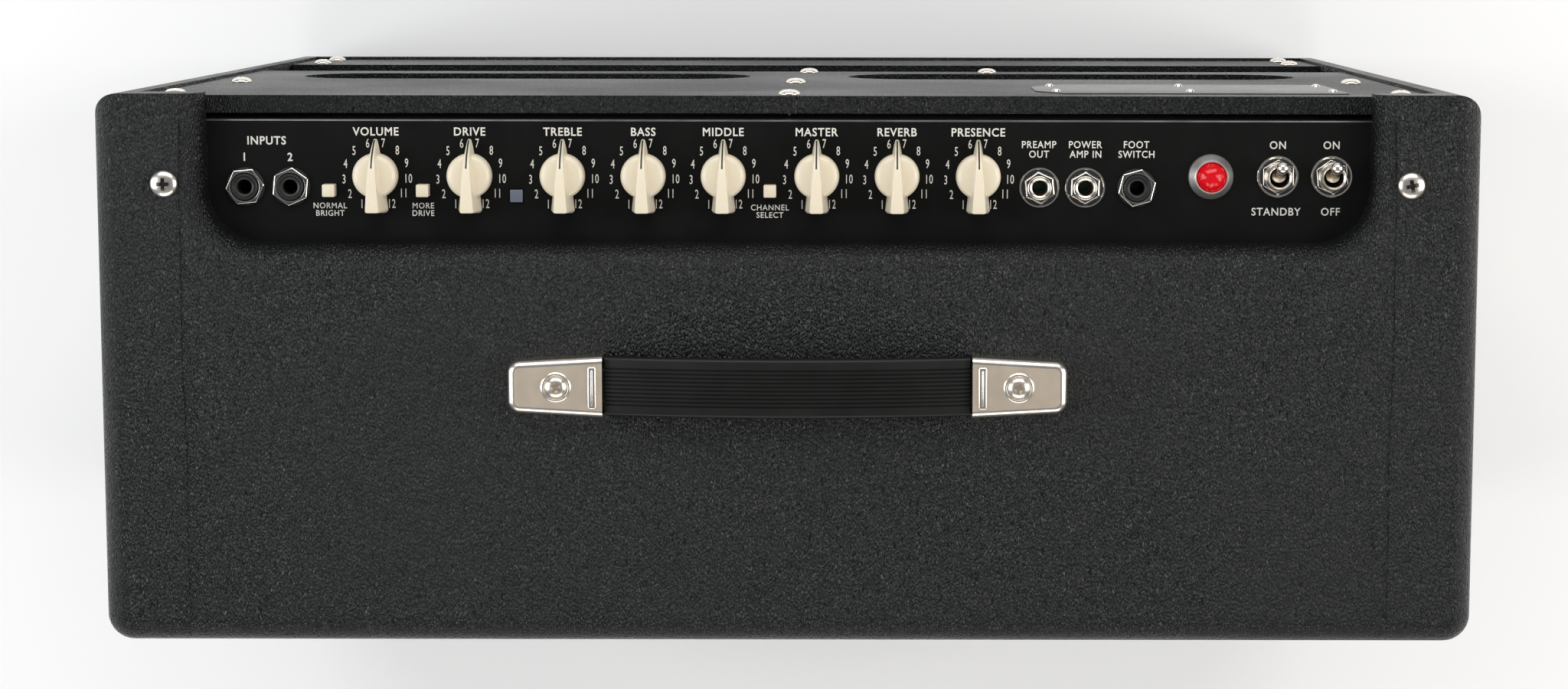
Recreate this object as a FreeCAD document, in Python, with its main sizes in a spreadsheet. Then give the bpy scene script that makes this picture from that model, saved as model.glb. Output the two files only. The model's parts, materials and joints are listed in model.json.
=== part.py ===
import FreeCAD, Part
import math
import os

import Sketcher
from FreeCAD import Placement, Rotation, Vector

# ---------------------------------------------------------------------------------------
# Driving dimensions, in millimetres. +Z is up, -Y is the front, the floor is z = 0.
# ---------------------------------------------------------------------------------------
SIZES = {
    # cabinet: four boards, deeper at the floor than at the top
    "cab_width": 602,
    "cab_top": 476,
    "cab_base": 12,
    "depth_base": 267,
    "depth_top": 241,
    "side_board": 18,
    "top_board": 18.5,
    "bottom_board": 18,
    "edge_round": 12,
    # recess in the top board, open to the rear, that shows the control panel
    "recess_half": 254.5,
    "recess_reach": 65.6,
    "recess_corner": 24,
    "recess_round": 9.5,
    # baffle, grille and speaker
    "baffle_setback": 22,
    "baffle_thick": 15,
    "grille_setback": 10,
    "grille_bar": 24,
    "speaker_hole": 141,
    "speaker_bolts": 148,
    "speaker_flange": 154.5,
    "speaker_height": 222,
    "cone_radius": 128,
    "coil_radius": 26.6,
    # back panels
    "panel_thick": 7.7,
    "panel_inset": 1.5,
    "upper_low": 193,
    "lower_high": 109,
    "vent_low": 222,
    "vent_high": 286,
    "vent_near": 24.5,
    "vent_far": 248,
    # chassis
    "chassis_half": 279,
    "chassis_gap": 12,
    "chassis_depth": 88,
    "chassis_drop": 57,
    "sheet_steel": 1.6,
    "mount_screw_x": 269.5,
    "mount_screw_y": 39,
    # rows of controls, measured forward from the rear face
    "knob_row": 36.3,
    "jack_row": 41.5,
    "button_row": 43,
    "lamp_row": 45.5,
    "switch_row": 36.5,
    # places of the controls along the panel
    "input_one_x": -238,
    "input_two_x": -218,
    "bright_x": -201,
    "volume_x": -180.6,
    "more_x": -160,
    "drive_x": -139.5,
    "lamp_x": -119.3,
    "treble_x": -98.9,
    "bass_x": -63.6,
    "middle_x": -28.6,
    "channel_x": -8.2,
    "master_x": 12.3,
    "reverb_x": 47.4,
    "presence_x": 82.9,
    "preamp_out_x": 109.8,
    "power_in_x": 129.8,
    "footswitch_x": 152.4,
    "jewel_x": 184.7,
    "standby_x": 214.1,
    "power_x": 237.7,
    # knob with a pointer wing, on a round shaft
    "knob_disc": 9.85,
    "knob_tip": 16,
    "knob_tail": 16.4,
    "knob_tall": 15.5,
    "knob_lift": 0.8,
    "shaft_radius": 3,
    "shaft_bore": 3.05,
    # push buttons
    "button_side": 5.5,
    "button_hole": 6.1,
    "button_tall": 5,
    # jacks
    "plug_bore": 3.3,
    "plastic_sleeve": 5.8,
    "metal_sleeve": 4.5,
    # toggle switches
    "toggle_bore": 4.2,
    "toggle_sleeve": 5.9,
    "toggle_tall": 7.4,
    "pivot_lift": 2,
    "pivot_radius": 1,
    "pivot_bore": 1.05,
    "lever_reach": 17,
    "lever_tilt": 19,
    # handle
    "handle_back": 126,
    "handle_screw_x": 100,
    "strap_half": 79,
    "strap_wide": 26,
    "cap_tall": 11,
    # feet
    "foot_radius": 17,
}

KNOBS = ("volume", "drive", "treble", "bass", "middle", "master", "reverb", "presence")
BUTTONS = ("bright", "more", "channel")
CIRCLE = 360

os.makedirs("parts", exist_ok=True)
doc = FreeCAD.newDocument("combo_amplifier")
nodes = []


# ---------------------------------------------------------------------------------------
# Sizes that remember their spreadsheet expression
# ---------------------------------------------------------------------------------------
class Size:
    """A number together with the spreadsheet expression that gives it."""

    def __init__(self, value, text):
        self.value = float(value)
        self.text = text

    def __add__(self, other):
        other = as_size(other)
        return Size(self.value + other.value, f"({self.text} + {other.text})")

    def __sub__(self, other):
        other = as_size(other)
        return Size(self.value - other.value, f"({self.text} - {other.text})")

    def __rsub__(self, other):
        return as_size(other) - self

    def __mul__(self, other):
        other = as_size(other)
        return Size(self.value * other.value, f"({self.text} * {other.text})")

    def __truediv__(self, other):
        other = as_size(other)
        return Size(self.value / other.value, f"({self.text} / {other.text})")

    def __neg__(self):
        return Size(-self.value, f"(0 - {self.text})")

    __radd__ = __add__
    __rmul__ = __mul__


def as_size(value):
    """Wrap a plain number so that it can stand in an expression."""
    if isinstance(value, Size):
        return value
    return Size(value, f"({float(value)!r})")


def make_sheet():
    """Write the driving dimensions to the spreadsheet, one alias each."""
    sheet = doc.addObject("Spreadsheet::Sheet", "Sizes")
    for row, (name, value) in enumerate(SIZES.items(), start=1):
        sheet.set(f"A{row}", name)
        sheet.set(f"B{row}", str(value))
        sheet.setAlias(f"B{row}", name)
    doc.recompute()


def size(name):
    """Look a driving dimension up by its alias."""
    return Size(SIZES[name], f"Sizes.{name}")


make_sheet()

HALF_WIDTH = size("cab_width") / 2
REAR = size("depth_base") / 2
FRONT_BASE = -REAR
FRONT_TOP = REAR - size("depth_top")
INNER_HALF = HALF_WIDTH - size("side_board")
CAB_TOP = size("cab_top")
CAB_BASE = size("cab_base")
INNER_TOP = CAB_TOP - size("top_board")
INNER_BASE = CAB_BASE + size("bottom_board")
STEEL = size("sheet_steel")
PANEL_TOP = INNER_TOP - 0.1
PANEL_UNDER = PANEL_TOP - STEEL
CHASSIS_BACK = REAR - size("chassis_gap")
CHASSIS_MID = CHASSIS_BACK - size("chassis_depth") / 2
CHASSIS_FLOOR = PANEL_UNDER - size("chassis_drop")
PANEL_BACK = REAR - size("panel_inset")
PANEL_FRONT = PANEL_BACK - size("panel_thick")
HANDLE_Y = REAR - size("handle_back")

# The front leans back: rise and run of the slope give its angle.
FRONT_TILT = math.degrees(math.atan2(FRONT_TOP.value - FRONT_BASE.value, CAB_TOP.value - CAB_BASE.value))
FRONT_FRAME = Placement(
    Vector(0, FRONT_BASE.value, CAB_BASE.value), Rotation(Vector(1, 0, 0), -FRONT_TILT)
)


# ---------------------------------------------------------------------------------------
# Sketch and feature helpers
# ---------------------------------------------------------------------------------------
def new_body(label, x=0, y=0, z=0):
    """Start a body whose placement is bound to the sheet."""
    body = doc.addObject("PartDesign::Body", label)
    body.Label = label
    for axis, place in zip("xyz", (x, y, z)):
        body.setExpression(f"Placement.Base.{axis}", as_size(place).text)
    return body


def new_sketch(body, role, offset=0):
    """Attach an empty sketch to one of the body's own origin planes."""
    plane = next(item for item in body.Origin.OriginFeatures if item.Role == role)
    sketch = body.newObject("Sketcher::SketchObject", f"{body.Label}_sketch")
    sketch.AttachmentSupport = [(plane, "")]
    sketch.MapMode = "FlatFace"
    sketch.setExpression("AttachmentOffset.Base.z", as_size(offset).text)
    return sketch


def bind_point(sketch, geometry, position, point):
    """Fix one sketch point by bound distances from the sketch's origin."""
    for kind, axis, value in zip(("DistanceX", "DistanceY"), (-2, -1), point):
        value = as_size(value)
        if abs(value.value) < 1e-9:
            sketch.addConstraint(Sketcher.Constraint("PointOnObject", geometry, position, axis))
            continue
        index = sketch.addConstraint(Sketcher.Constraint(kind, geometry, position, value.value))
        sketch.setExpression(f"Constraints[{index}]", value.text)


def add_outline(sketch, points):
    """Draw a closed outline of straight lines through bound points."""
    corners = [Vector(as_size(x).value, as_size(y).value, 0) for x, y in points]
    first = sketch.GeometryCount
    count = len(corners)
    for index in range(count):
        line = Part.LineSegment(corners[index], corners[(index + 1) % count])
        sketch.addGeometry(line, False)
    for index in range(count):
        following = first + (index + 1) % count
        sketch.addConstraint(Sketcher.Constraint("Coincident", first + index, 2, following, 1))
    for index, point in enumerate(points):
        bind_point(sketch, first + index, 1, point)


def add_rectangle(sketch, low, high):
    """Draw a rectangle between two bound corners."""
    add_outline(sketch, [low, (high[0], low[1]), high, (low[0], high[1])])


def add_circle(sketch, centre, radius):
    """Draw a circle with a bound centre and radius."""
    radius = as_size(radius)
    middle = Vector(as_size(centre[0]).value, as_size(centre[1]).value, 0)
    index = sketch.addGeometry(Part.Circle(middle, Vector(0, 0, 1), radius.value), False)
    bind_point(sketch, index, 3, centre)
    place = sketch.addConstraint(Sketcher.Constraint("Radius", index, radius.value))
    sketch.setExpression(f"Constraints[{place}]", radius.text)


def add_feature(body, kind, sketch, **settings):
    """Add a sketch-based feature to the body."""
    feature = body.newObject(f"PartDesign::{kind}", f"{body.Label}_{kind.lower()}")
    feature.Profile = sketch
    for name, value in settings.items():
        if isinstance(value, Size):
            feature.setExpression(name, value.text)
        else:
            setattr(feature, name, value)
    sketch.Visibility = False
    return feature


def pad(body, sketch, length, side="One side", reverse=False):
    """Extrude a sketch along its normal."""
    return add_feature(
        body, "Pad", sketch, Length=as_size(length), SideType=side, Reversed=reverse
    )


def cut_through(body, sketch):
    """Cut a sketch through the whole body, both ways."""
    return add_feature(body, "Pocket", sketch, Type="ThroughAll", SideType="Symmetric")


def cut_down(body, sketch, depth, reverse=False):
    """Cut a sketch to a depth, against its normal unless reversed."""
    return add_feature(body, "Pocket", sketch, Length=as_size(depth), Reversed=reverse)


def revolve(body, points):
    """Turn a half profile of (radius, height) points round the body's Z axis."""
    sketch = new_sketch(body, "XZ_Plane")
    add_outline(sketch, points)
    return add_feature(body, "Revolution", sketch, ReferenceAxis=(sketch, ["V_Axis"]), Angle=CIRCLE)


def round_edges(body, radius, wanted):
    """Fillet the edges of the body's last feature that a test picks out."""
    doc.recompute()
    base = body.Tip
    names = [f"Edge{i}" for i, edge in enumerate(base.Shape.Edges, 1) if wanted(edge.BoundBox)]
    fillet = body.newObject("PartDesign::Fillet", f"{body.Label}_fillet")
    fillet.Base = (base, names)
    fillet.setExpression("Radius", as_size(radius).text)
    doc.recompute()
    return fillet


def keep(piece):
    """List an object as a finished sub-part."""
    nodes.append(piece)
    return piece


def turned(label, points, x=0, y=0, z=0):
    """Make a body by turning one profile."""
    body = new_body(label, x, y, z)
    revolve(body, points)
    return body


def block(label, low, high, x=0, y=0, z=0):
    """Make a rectangular body between two bound corners."""
    body = new_body(label, x, y, z)
    sketch = new_sketch(body, "XY_Plane", low[2])
    add_rectangle(sketch, low[:2], high[:2])
    pad(body, sketch, as_size(high[2]) - low[2])
    return body


def group(label, shapes):
    """Keep separate solids of the same kind together as one sub-part."""
    piece = doc.addObject("Part::Feature", label)
    piece.Label = label
    piece.Shape = Part.makeCompound([solid for shape in shapes for solid in shape.Solids])
    piece.Placement = Placement()
    return keep(piece)


def placed(shape, x=0, y=0, z=0, rotation=None):
    """Copy a shape to a place, turned about its own origin first."""
    where = [as_size(value).value for value in (x, y, z)]
    copy = shape.copy()
    copy.Placement = Placement(Vector(*where), rotation or Rotation())
    return copy


def master(make, *details):
    """Build a body that only serves as the pattern of a group, and return its shape."""
    body = make(*details)
    doc.recompute()
    return body.Shape


def place_on_front(piece, x=0, y=0, z=0, turn=0):
    """Set a piece in the leaning frame of the front, turned about its X axis first."""
    local = Placement(
        Vector(*(as_size(value).value for value in (x, y, z))), Rotation(Vector(1, 0, 0), turn)
    )
    piece.Placement = FRONT_FRAME.multiply(local)
    return piece


# ---------------------------------------------------------------------------------------
# Cabinet boards
# ---------------------------------------------------------------------------------------
def make_cabinet_blank():
    """The whole wooden box in one, before it is parted into its four boards."""
    body = new_body("cabinet_blank")
    side = new_sketch(body, "YZ_Plane")
    add_outline(
        side,
        [(REAR, CAB_BASE), (REAR, CAB_TOP), (FRONT_TOP, CAB_TOP), (FRONT_BASE, CAB_BASE)],
    )
    pad(body, side, size("cab_width"), side="Symmetric")
    hollow = new_sketch(body, "XZ_Plane")
    add_rectangle(hollow, (-INNER_HALF, INNER_BASE), (INNER_HALF, INNER_TOP))
    cut_through(body, hollow)
    recess = new_sketch(body, "XY_Plane", CAB_TOP)
    recess_front = REAR - size("recess_reach")
    add_rectangle(recess, (-size("recess_half"), recess_front), (size("recess_half"), REAR + 20))
    cut_down(body, recess, size("top_board") + 2)
    front = recess_front.value
    half = size("recess_half").value
    top = CAB_TOP.value

    def recess_corner(box):
        return box.XLength < 0.01 and abs(box.YMax - front) < 0.01 and box.ZMin > INNER_TOP.value - 0.1

    def recess_rim(box):
        inside = max(-box.XMin, box.XMax) < half + 0.1
        return box.ZMin > top - 0.1 and inside and box.YMin > front - 0.1

    def outer_edge(box):
        side_face = box.XLength < 0.01 and abs(abs(box.XMin) - HALF_WIDTH.value) < 0.01
        level = box.ZLength < 0.01 and box.XLength > size("cab_width").value - 1
        at_skin = box.ZMin > top - 0.1 or box.ZMax < CAB_BASE.value + 0.1
        return side_face or (level and at_skin)

    round_edges(body, size("recess_corner"), recess_corner)
    round_edges(body, size("recess_round"), recess_rim)
    round_edges(body, size("edge_round"), outer_edge)
    return body


def part_board(blank, label, low, high, holes=()):
    """Take the share of the blank inside a box as one board, with drilled holes."""
    share = doc.addObject("Part::Box", f"{label}_share")
    for name, start, end in zip(("Length", "Width", "Height"), low, high):
        share.setExpression(name, (as_size(end) - start).text)
    for axis, start in zip("xyz", low):
        share.setExpression(f"Placement.Base.{axis}", as_size(start).text)
    board = doc.addObject("Part::Common", f"{label}_blank")
    board.Base = blank
    board.Tool = share
    for number, (radius, height, x, y, z) in enumerate(holes):
        drill = doc.addObject("Part::Cylinder", f"{label}_drill_{number}")
        drill.setExpression("Radius", as_size(radius).text)
        drill.setExpression("Height", as_size(height).text)
        for axis, place in zip("xyz", (x, y, z)):
            drill.setExpression(f"Placement.Base.{axis}", as_size(place).text)
        drilled = doc.addObject("Part::Cut", f"{label}_drilled_{number}")
        drilled.Base = board
        drilled.Tool = drill
        board = drilled
    board.Label = label
    return keep(board)


def make_boards():
    """Part the blank into top, bottom and two sides."""
    blank = make_cabinet_blank()
    reach = REAR + 1
    screw_y = REAR - size("mount_screw_y")
    holes = [
        (2.3, 40, side * size("mount_screw_x"), screw_y, CAB_TOP - 30) for side in (-1, 1)
    ] + [(2.3, 40, side * size("handle_screw_x"), HANDLE_Y, CAB_TOP - 30) for side in (-1, 1)]
    part_board(blank, "top_board", (-INNER_HALF, -reach, INNER_TOP), (INNER_HALF, reach, CAB_TOP), holes)
    part_board(blank, "bottom_board", (-INNER_HALF, -reach, CAB_BASE), (INNER_HALF, reach, INNER_BASE))
    part_board(
        blank, "side_board_left", (-HALF_WIDTH, -reach, CAB_BASE), (-INNER_HALF, reach, CAB_TOP)
    )
    part_board(
        blank, "side_board_right", (INNER_HALF, -reach, CAB_BASE), (HALF_WIDTH, reach, CAB_TOP)
    )


def make_feet():
    """Four rubber feet, each held by a washer sunk in its middle."""
    radius = size("foot_radius")
    foot = master(
        turned,
        "foot_pattern",
        [(4, 0), (radius - 3, 0), (radius, 3), (radius, CAB_BASE), (0, CAB_BASE), (0, 5), (4, 5)],
    )
    inset = 38
    places = [(x, y) for x in (-HALF_WIDTH + inset, HALF_WIDTH - inset) for y in (-REAR + inset, REAR - inset)]
    group("rubber_feet", [placed(foot, x, y) for x, y in places])


# ---------------------------------------------------------------------------------------
# Front: baffle, grille and speaker. Local y runs inwards from the leaning front face.
# ---------------------------------------------------------------------------------------
FRONT_LOW = size("bottom_board") + 3
FRONT_HIGH = FRONT_LOW + 425
SPEAKER_MID = size("speaker_height")


def bolt_circle(count, radius):
    """Give the (x, y) places of evenly spaced bolts, the first half a step off the axis."""
    step = 2 * math.pi / count
    return [
        (math.cos(step * (i + 0.5)) * as_size(radius), math.sin(step * (i + 0.5)) * as_size(radius))
        for i in range(count)
    ]


def make_baffle():
    """Plywood baffle with the speaker's hole and its bolt holes."""
    body = new_body("baffle_board")
    sketch = new_sketch(body, "XZ_Plane")
    edge = INNER_HALF - 0.4
    add_rectangle(sketch, (-edge, FRONT_LOW), (edge, FRONT_HIGH))
    add_circle(sketch, (0, SPEAKER_MID), size("speaker_hole"))
    for x, z in bolt_circle(8, size("speaker_bolts")):
        add_circle(sketch, (x, z + SPEAKER_MID), 2.6)
    pad(body, sketch, size("baffle_thick"), reverse=True)
    for axis in "xyz":
        body.setExpression(f"Placement.Base.{axis}", None)
    keep(place_on_front(body, y=size("baffle_setback")))


def make_grille():
    """Wooden frame in front of the baffle, and the cloth stretched over it."""
    edge = INNER_HALF - 2
    bar = size("grille_bar")
    low = FRONT_LOW + 1
    high = FRONT_HIGH - 1
    frame = new_body("grille_frame")
    sketch = new_sketch(frame, "XZ_Plane")
    add_rectangle(sketch, (-edge, low), (edge, high))
    add_rectangle(sketch, (-edge + bar, low + bar), (edge - bar, high - bar))
    depth = size("baffle_setback") - size("grille_setback") - 1.4
    pad(frame, sketch, depth, reverse=True)
    cloth = new_body("grille_cloth")
    sheet = new_sketch(cloth, "XZ_Plane")
    add_rectangle(sheet, (-edge, low), (edge, high))
    pad(cloth, sheet, 1.2, reverse=True)
    for body, setback in ((frame, 1.3), (cloth, 0)):
        for axis in "xyz":
            body.setExpression(f"Placement.Base.{axis}", None)
        keep(place_on_front(body, y=size("grille_setback") + setback))


def face_speaker(piece):
    """Face a speaker piece forward, its origin on the baffle's rear face."""
    depth = size("baffle_setback") + size("baffle_thick")
    return place_on_front(piece, y=depth, z=SPEAKER_MID, turn=90)


def keep_speaker_body(body):
    """Keep a turned speaker body, once its own placement is free to follow the front."""
    for axis in "xyz":
        body.setExpression(f"Placement.Base.{axis}", None)
    return keep(face_speaker(body))


def make_basket():
    """Pressed steel basket with eight windows and eight bolt holes."""
    flange = size("speaker_flange")
    hole = size("speaker_hole")
    body = turned(
        "speaker_basket",
        [
            (hole, 0),
            (flange, 0),
            (flange, -3),
            (hole + 1.8, -3),
            (70, -72),
            (70, -78),
            (32, -78),
            (32, -75.5),
            (67, -75.5),
            (67, -71),
            (hole - 2.2, -3),
            (hole, -3),
        ],
    )
    window = new_sketch(body, "XY_Plane")
    add_outline(window, [(82, -16), (128, -26), (128, 26), (82, 16)])
    pocket = cut_through(body, window)
    doc.recompute()
    windows = body.newObject("PartDesign::PolarPattern", "speaker_basket_windows")
    windows.Originals = [pocket]
    windows.Axis = (window, ["N_Axis"])
    windows.Angle = CIRCLE
    windows.Occurrences = 8
    body.Tip = windows
    doc.recompute()
    drills = new_sketch(body, "XY_Plane")
    for place in bolt_circle(8, size("speaker_bolts")):
        add_circle(drills, place, 2.8)
    cut_through(body, drills)
    keep_speaker_body(body)


def make_speaker():
    """Twelve-inch speaker behind the baffle: basket, motor and the moving cone."""
    make_basket()
    coil = size("coil_radius")
    rim = size("cone_radius")
    hole = size("speaker_hole")
    magnet = turned("speaker_magnet", [(40, -84), (78, -84), (78, -104), (40, -104)])
    keep_speaker_body(magnet)
    top_plate = master(turned, "top_plate_pattern", [(28, -78), (72, -78), (72, -84), (28, -84)])
    pole = master(
        turned,
        "pole_pattern",
        [(6, -79), (24.5, -79), (24.5, -104), (72, -104), (72, -110), (6, -110)],
    )
    face_speaker(group("speaker_pole_plates", [top_plate, pole]))
    cone = turned(
        "speaker_cone",
        [
            (0, -36),
            (15, -37.3),
            (28, -41),
            (37, -44.9),
            (rim, -5),
            (rim, -6.2),
            (coil, -50.7),
            (coil, -84),
            (coil - 1, -84),
            (coil - 1, -49.9),
            (35, -45.78),
            (27.5, -42.2),
            (14.8, -38.4),
            (0, -37.1),
        ],
    )
    keep_speaker_body(cone)
    surround = master(
        turned,
        "surround_pattern",
        [
            (rim + 0.1, -5.2),
            (rim + 6.5, -1.2),
            (hole - 0.1, -2.2),
            (hole - 0.1, -3),
            (rim + 6.5, -2.2),
            (rim + 0.1, -6.2),
        ],
    )
    spider = master(
        turned,
        "spider_pattern",
        [(coil + 0.4, -65), (46, -63.5), (66.8, -65), (66.8, -65.8), (46, -64.3), (coil + 0.4, -65.8)],
    )
    face_speaker(group("speaker_suspension", [surround, spider]))
    bolt = master(
        turned,
        "speaker_bolt_pattern",
        [(0, 12), (2.4, 12), (2.4, -3.05), (5, -3.05), (5, -6.5), (0, -6.5)],
    )
    places = bolt_circle(8, size("speaker_bolts"))
    face_speaker(group("speaker_bolts", [placed(bolt, x, y) for x, y in places]))


# ---------------------------------------------------------------------------------------
# Rear: panels, cleats, screws and the blank rating plate
# ---------------------------------------------------------------------------------------
CHASSIS_LINE = [(-270, 447), (0, 447), (269, 447)]
UPPER_SCREWS = CHASSIS_LINE + [(-265, 329), (0, 329), (265.5, 329), (4, 208), (96, 208)]
LOWER_SCREWS = [(-268, 94), (268, 94), (-268, 48), (268, 48)]


def make_back_panels():
    """Upper panel with two long vents, and the low panel under the gap."""
    edge = INNER_HALF - 0.7
    depth = size("panel_thick")
    upper = new_body("back_panel_upper", y=PANEL_BACK)
    sketch = new_sketch(upper, "XZ_Plane")
    add_rectangle(sketch, (-edge, size("upper_low")), (edge, INNER_TOP - 0.4))
    for x, z in UPPER_SCREWS:
        add_circle(sketch, (x, z), 2.3)
    pad(upper, sketch, depth)
    vents = new_sketch(upper, "XZ_Plane")
    for side in (-1, 1):
        near = side * size("vent_near")
        far = side * size("vent_far")
        low = (near, size("vent_low")) if side > 0 else (far, size("vent_low"))
        high = (far, size("vent_high")) if side > 0 else (near, size("vent_high"))
        add_rectangle(vents, low, high)
    cut_through(upper, vents)
    half_high = (size("vent_high") - size("vent_low")) / 2

    def vent_corner(box):
        upright = box.XLength < 0.01 and box.ZLength < 0.01
        return upright and size("vent_far").value + 1 > abs(box.XMin) > 20 and 221 < box.ZMin < 287

    round_edges(upper, half_high - 0.5, vent_corner)
    keep(upper)
    lower = new_body("back_panel_lower", y=PANEL_BACK)
    sketch = new_sketch(lower, "XZ_Plane")
    add_rectangle(sketch, (-edge, INNER_BASE + 0.5), (edge, size("lower_high")))
    for x, z in LOWER_SCREWS:
        add_circle(sketch, (x, z), 2.3)
    pad(lower, sketch, depth)
    keep(lower)


def make_cleats():
    """Battens glued inside the cabinet that the back panels are screwed to."""
    front = PANEL_FRONT - 0.1
    thick = 16
    side_in = INNER_HALF - 21.5
    bars = [
        ((-INNER_HALF + 0.1, INNER_BASE + 0.1), (-side_in, CHASSIS_FLOOR - 1)),
        ((side_in, INNER_BASE + 0.1), (INNER_HALF - 0.1, CHASSIS_FLOOR - 1)),
        ((-side_in + 0.2, 196), (side_in - 0.2, 218)),
        ((-12, 218.2), (12, CHASSIS_FLOOR - 1)),
    ]
    shapes = []
    for number, (low, high) in enumerate(bars):
        bar = new_body(f"cleat_{number}", y=front)
        sketch = new_sketch(bar, "XZ_Plane")
        add_rectangle(sketch, low, high)
        for x, z in UPPER_SCREWS + LOWER_SCREWS:
            in_x = as_size(low[0]).value < x < as_size(high[0]).value
            if in_x and as_size(low[1]).value < z < as_size(high[1]).value:
                add_circle(sketch, (x, z), 2.3)
        pad(bar, sketch, thick)
        doc.recompute()
        shapes.append(bar.Shape)
    group("panel_cleats", shapes)


def dome_screw(label, radius, shank):
    """A domed screw on the Z axis, its head standing on z = 0."""
    return turned(
        label,
        [
            (0, -as_size(shank)),
            (2, -as_size(shank)),
            (2, 0.05),
            (radius, 0.05),
            (radius * as_size(0.9), 1),
            (radius * as_size(0.6), 2),
            (0, 2.6),
        ],
    )


def make_screws():
    """Domed screws of the back panels, the chassis and the handle."""
    long = master(dome_screw, "panel_screw_pattern", 4.8, 15)
    short = master(dome_screw, "chassis_line_screw_pattern", 4.8, 10)
    face_rear = Rotation(Vector(1, 0, 0), -90)
    shapes = []
    for x, z in UPPER_SCREWS + LOWER_SCREWS:
        pattern = short if (x, z) in CHASSIS_LINE else long
        shapes.append(placed(pattern, x, PANEL_BACK, z, face_rear))
    group("back_panel_screws", shapes)
    mount = master(dome_screw, "mount_screw_pattern", 6, 24)
    y = REAR - size("mount_screw_y")
    group(
        "chassis_screws",
        [placed(mount, side * size("mount_screw_x"), y, CAB_TOP) for side in (-1, 1)],
    )
    grip = master(dome_screw, "handle_screw_pattern", 5, 26)
    top = CAB_TOP + size("cap_tall")
    group(
        "handle_screws",
        [placed(grip, side * size("handle_screw_x"), HANDLE_Y, top) for side in (-1, 1)],
    )


def make_rating_plate():
    """Blank metal plate with a pointed end, riveted to the upper back panel."""
    body = new_body("rating_plate", y=PANEL_BACK + 0.5)
    sketch = new_sketch(body, "XZ_Plane")
    low, high = (352, 437)
    mid = (low + high) / 2
    add_outline(sketch, [(110, mid), (122, low), (248, low), (248, high), (122, high)])
    pad(body, sketch, 0.45)
    keep(body)


# ---------------------------------------------------------------------------------------
# Handle
# ---------------------------------------------------------------------------------------
def make_handle():
    """Moulded strap whose tongues slide under two stamped caps."""
    tall = size("cap_tall")
    cap = new_body("cap_pattern")
    outside = new_sketch(cap, "XY_Plane")
    add_outline(outside, [(-20, -13.5), (21, -11.2), (21, 11.2), (-20, 13.5)])
    pad(cap, outside, tall)
    inside = new_sketch(cap, "XY_Plane")
    add_outline(inside, [(-25, -12.3), (19.8, -10), (19.8, 10), (-25, 12.3)])
    cut_down(cap, inside, tall - 1.2, reverse=True)
    drill = new_sketch(cap, "XY_Plane")
    add_circle(drill, (0, 0), 2.3)
    cut_through(cap, drill)
    doc.recompute()
    turn = Rotation(Vector(0, 0, 1), 180)
    x = size("handle_screw_x")
    z = CAB_TOP + 0.05
    right = placed(cap.Shape, x, HANDLE_Y, z)
    left = placed(cap.Shape, -x, HANDLE_Y, z, turn)
    group("handle_caps", [left, right])
    half = size("strap_half").value
    wide = size("strap_wide").value
    base = CAB_TOP.value + 0.2
    middle = HANDLE_Y.value

    def bow(low, high):
        """A band edge that bows from low at the caps to high in the middle."""
        ends = Vector(-half, 0, base + low), Vector(half, 0, base + low)
        return Part.Arc(ends[0], Vector(0, 0, base + high), ends[1]).toShape()

    under = bow(1.8, 10)
    over = bow(7.8, 16)
    sides = [
        Part.LineSegment(Vector(end, 0, base + 1.8), Vector(end, 0, base + 7.8)).toShape()
        for end in (-half, half)
    ]
    face = Part.Face(Part.Wire(Part.__sortEdges__([under, over] + sides)))
    strap = face.extrude(Vector(0, wide, 0))
    strap.translate(Vector(0, middle - wide / 2, 0))
    tongue_long = 114 - half + 2
    slot = Part.makeBox(16, 5.6, 12, Vector(x.value - 8, middle - 2.8, base - 1))
    for side in (-1, 1):
        start = half - 2 if side > 0 else -half + 2 - tongue_long
        tongue = Part.makeBox(tongue_long, 17, 4.4, Vector(start, middle - 8.5, base))
        strap = strap.fuse(tongue)
        hole = slot.copy()
        if side < 0:
            hole.translate(Vector(-2 * x.value, 0, 0))
        strap = strap.cut(hole)
    piece = doc.addObject("Part::Feature", "handle_strap")
    piece.Label = "handle_strap"
    piece.Shape = strap.removeSplitter()
    piece.Placement = Placement()
    keep(piece)


# ---------------------------------------------------------------------------------------
# Chassis and everything hung from it
# ---------------------------------------------------------------------------------------
TUBES = {"power": (60, 112), "preamp": (-80, -140, -200)}
TUBE_Y = CHASSIS_MID - 4


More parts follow.
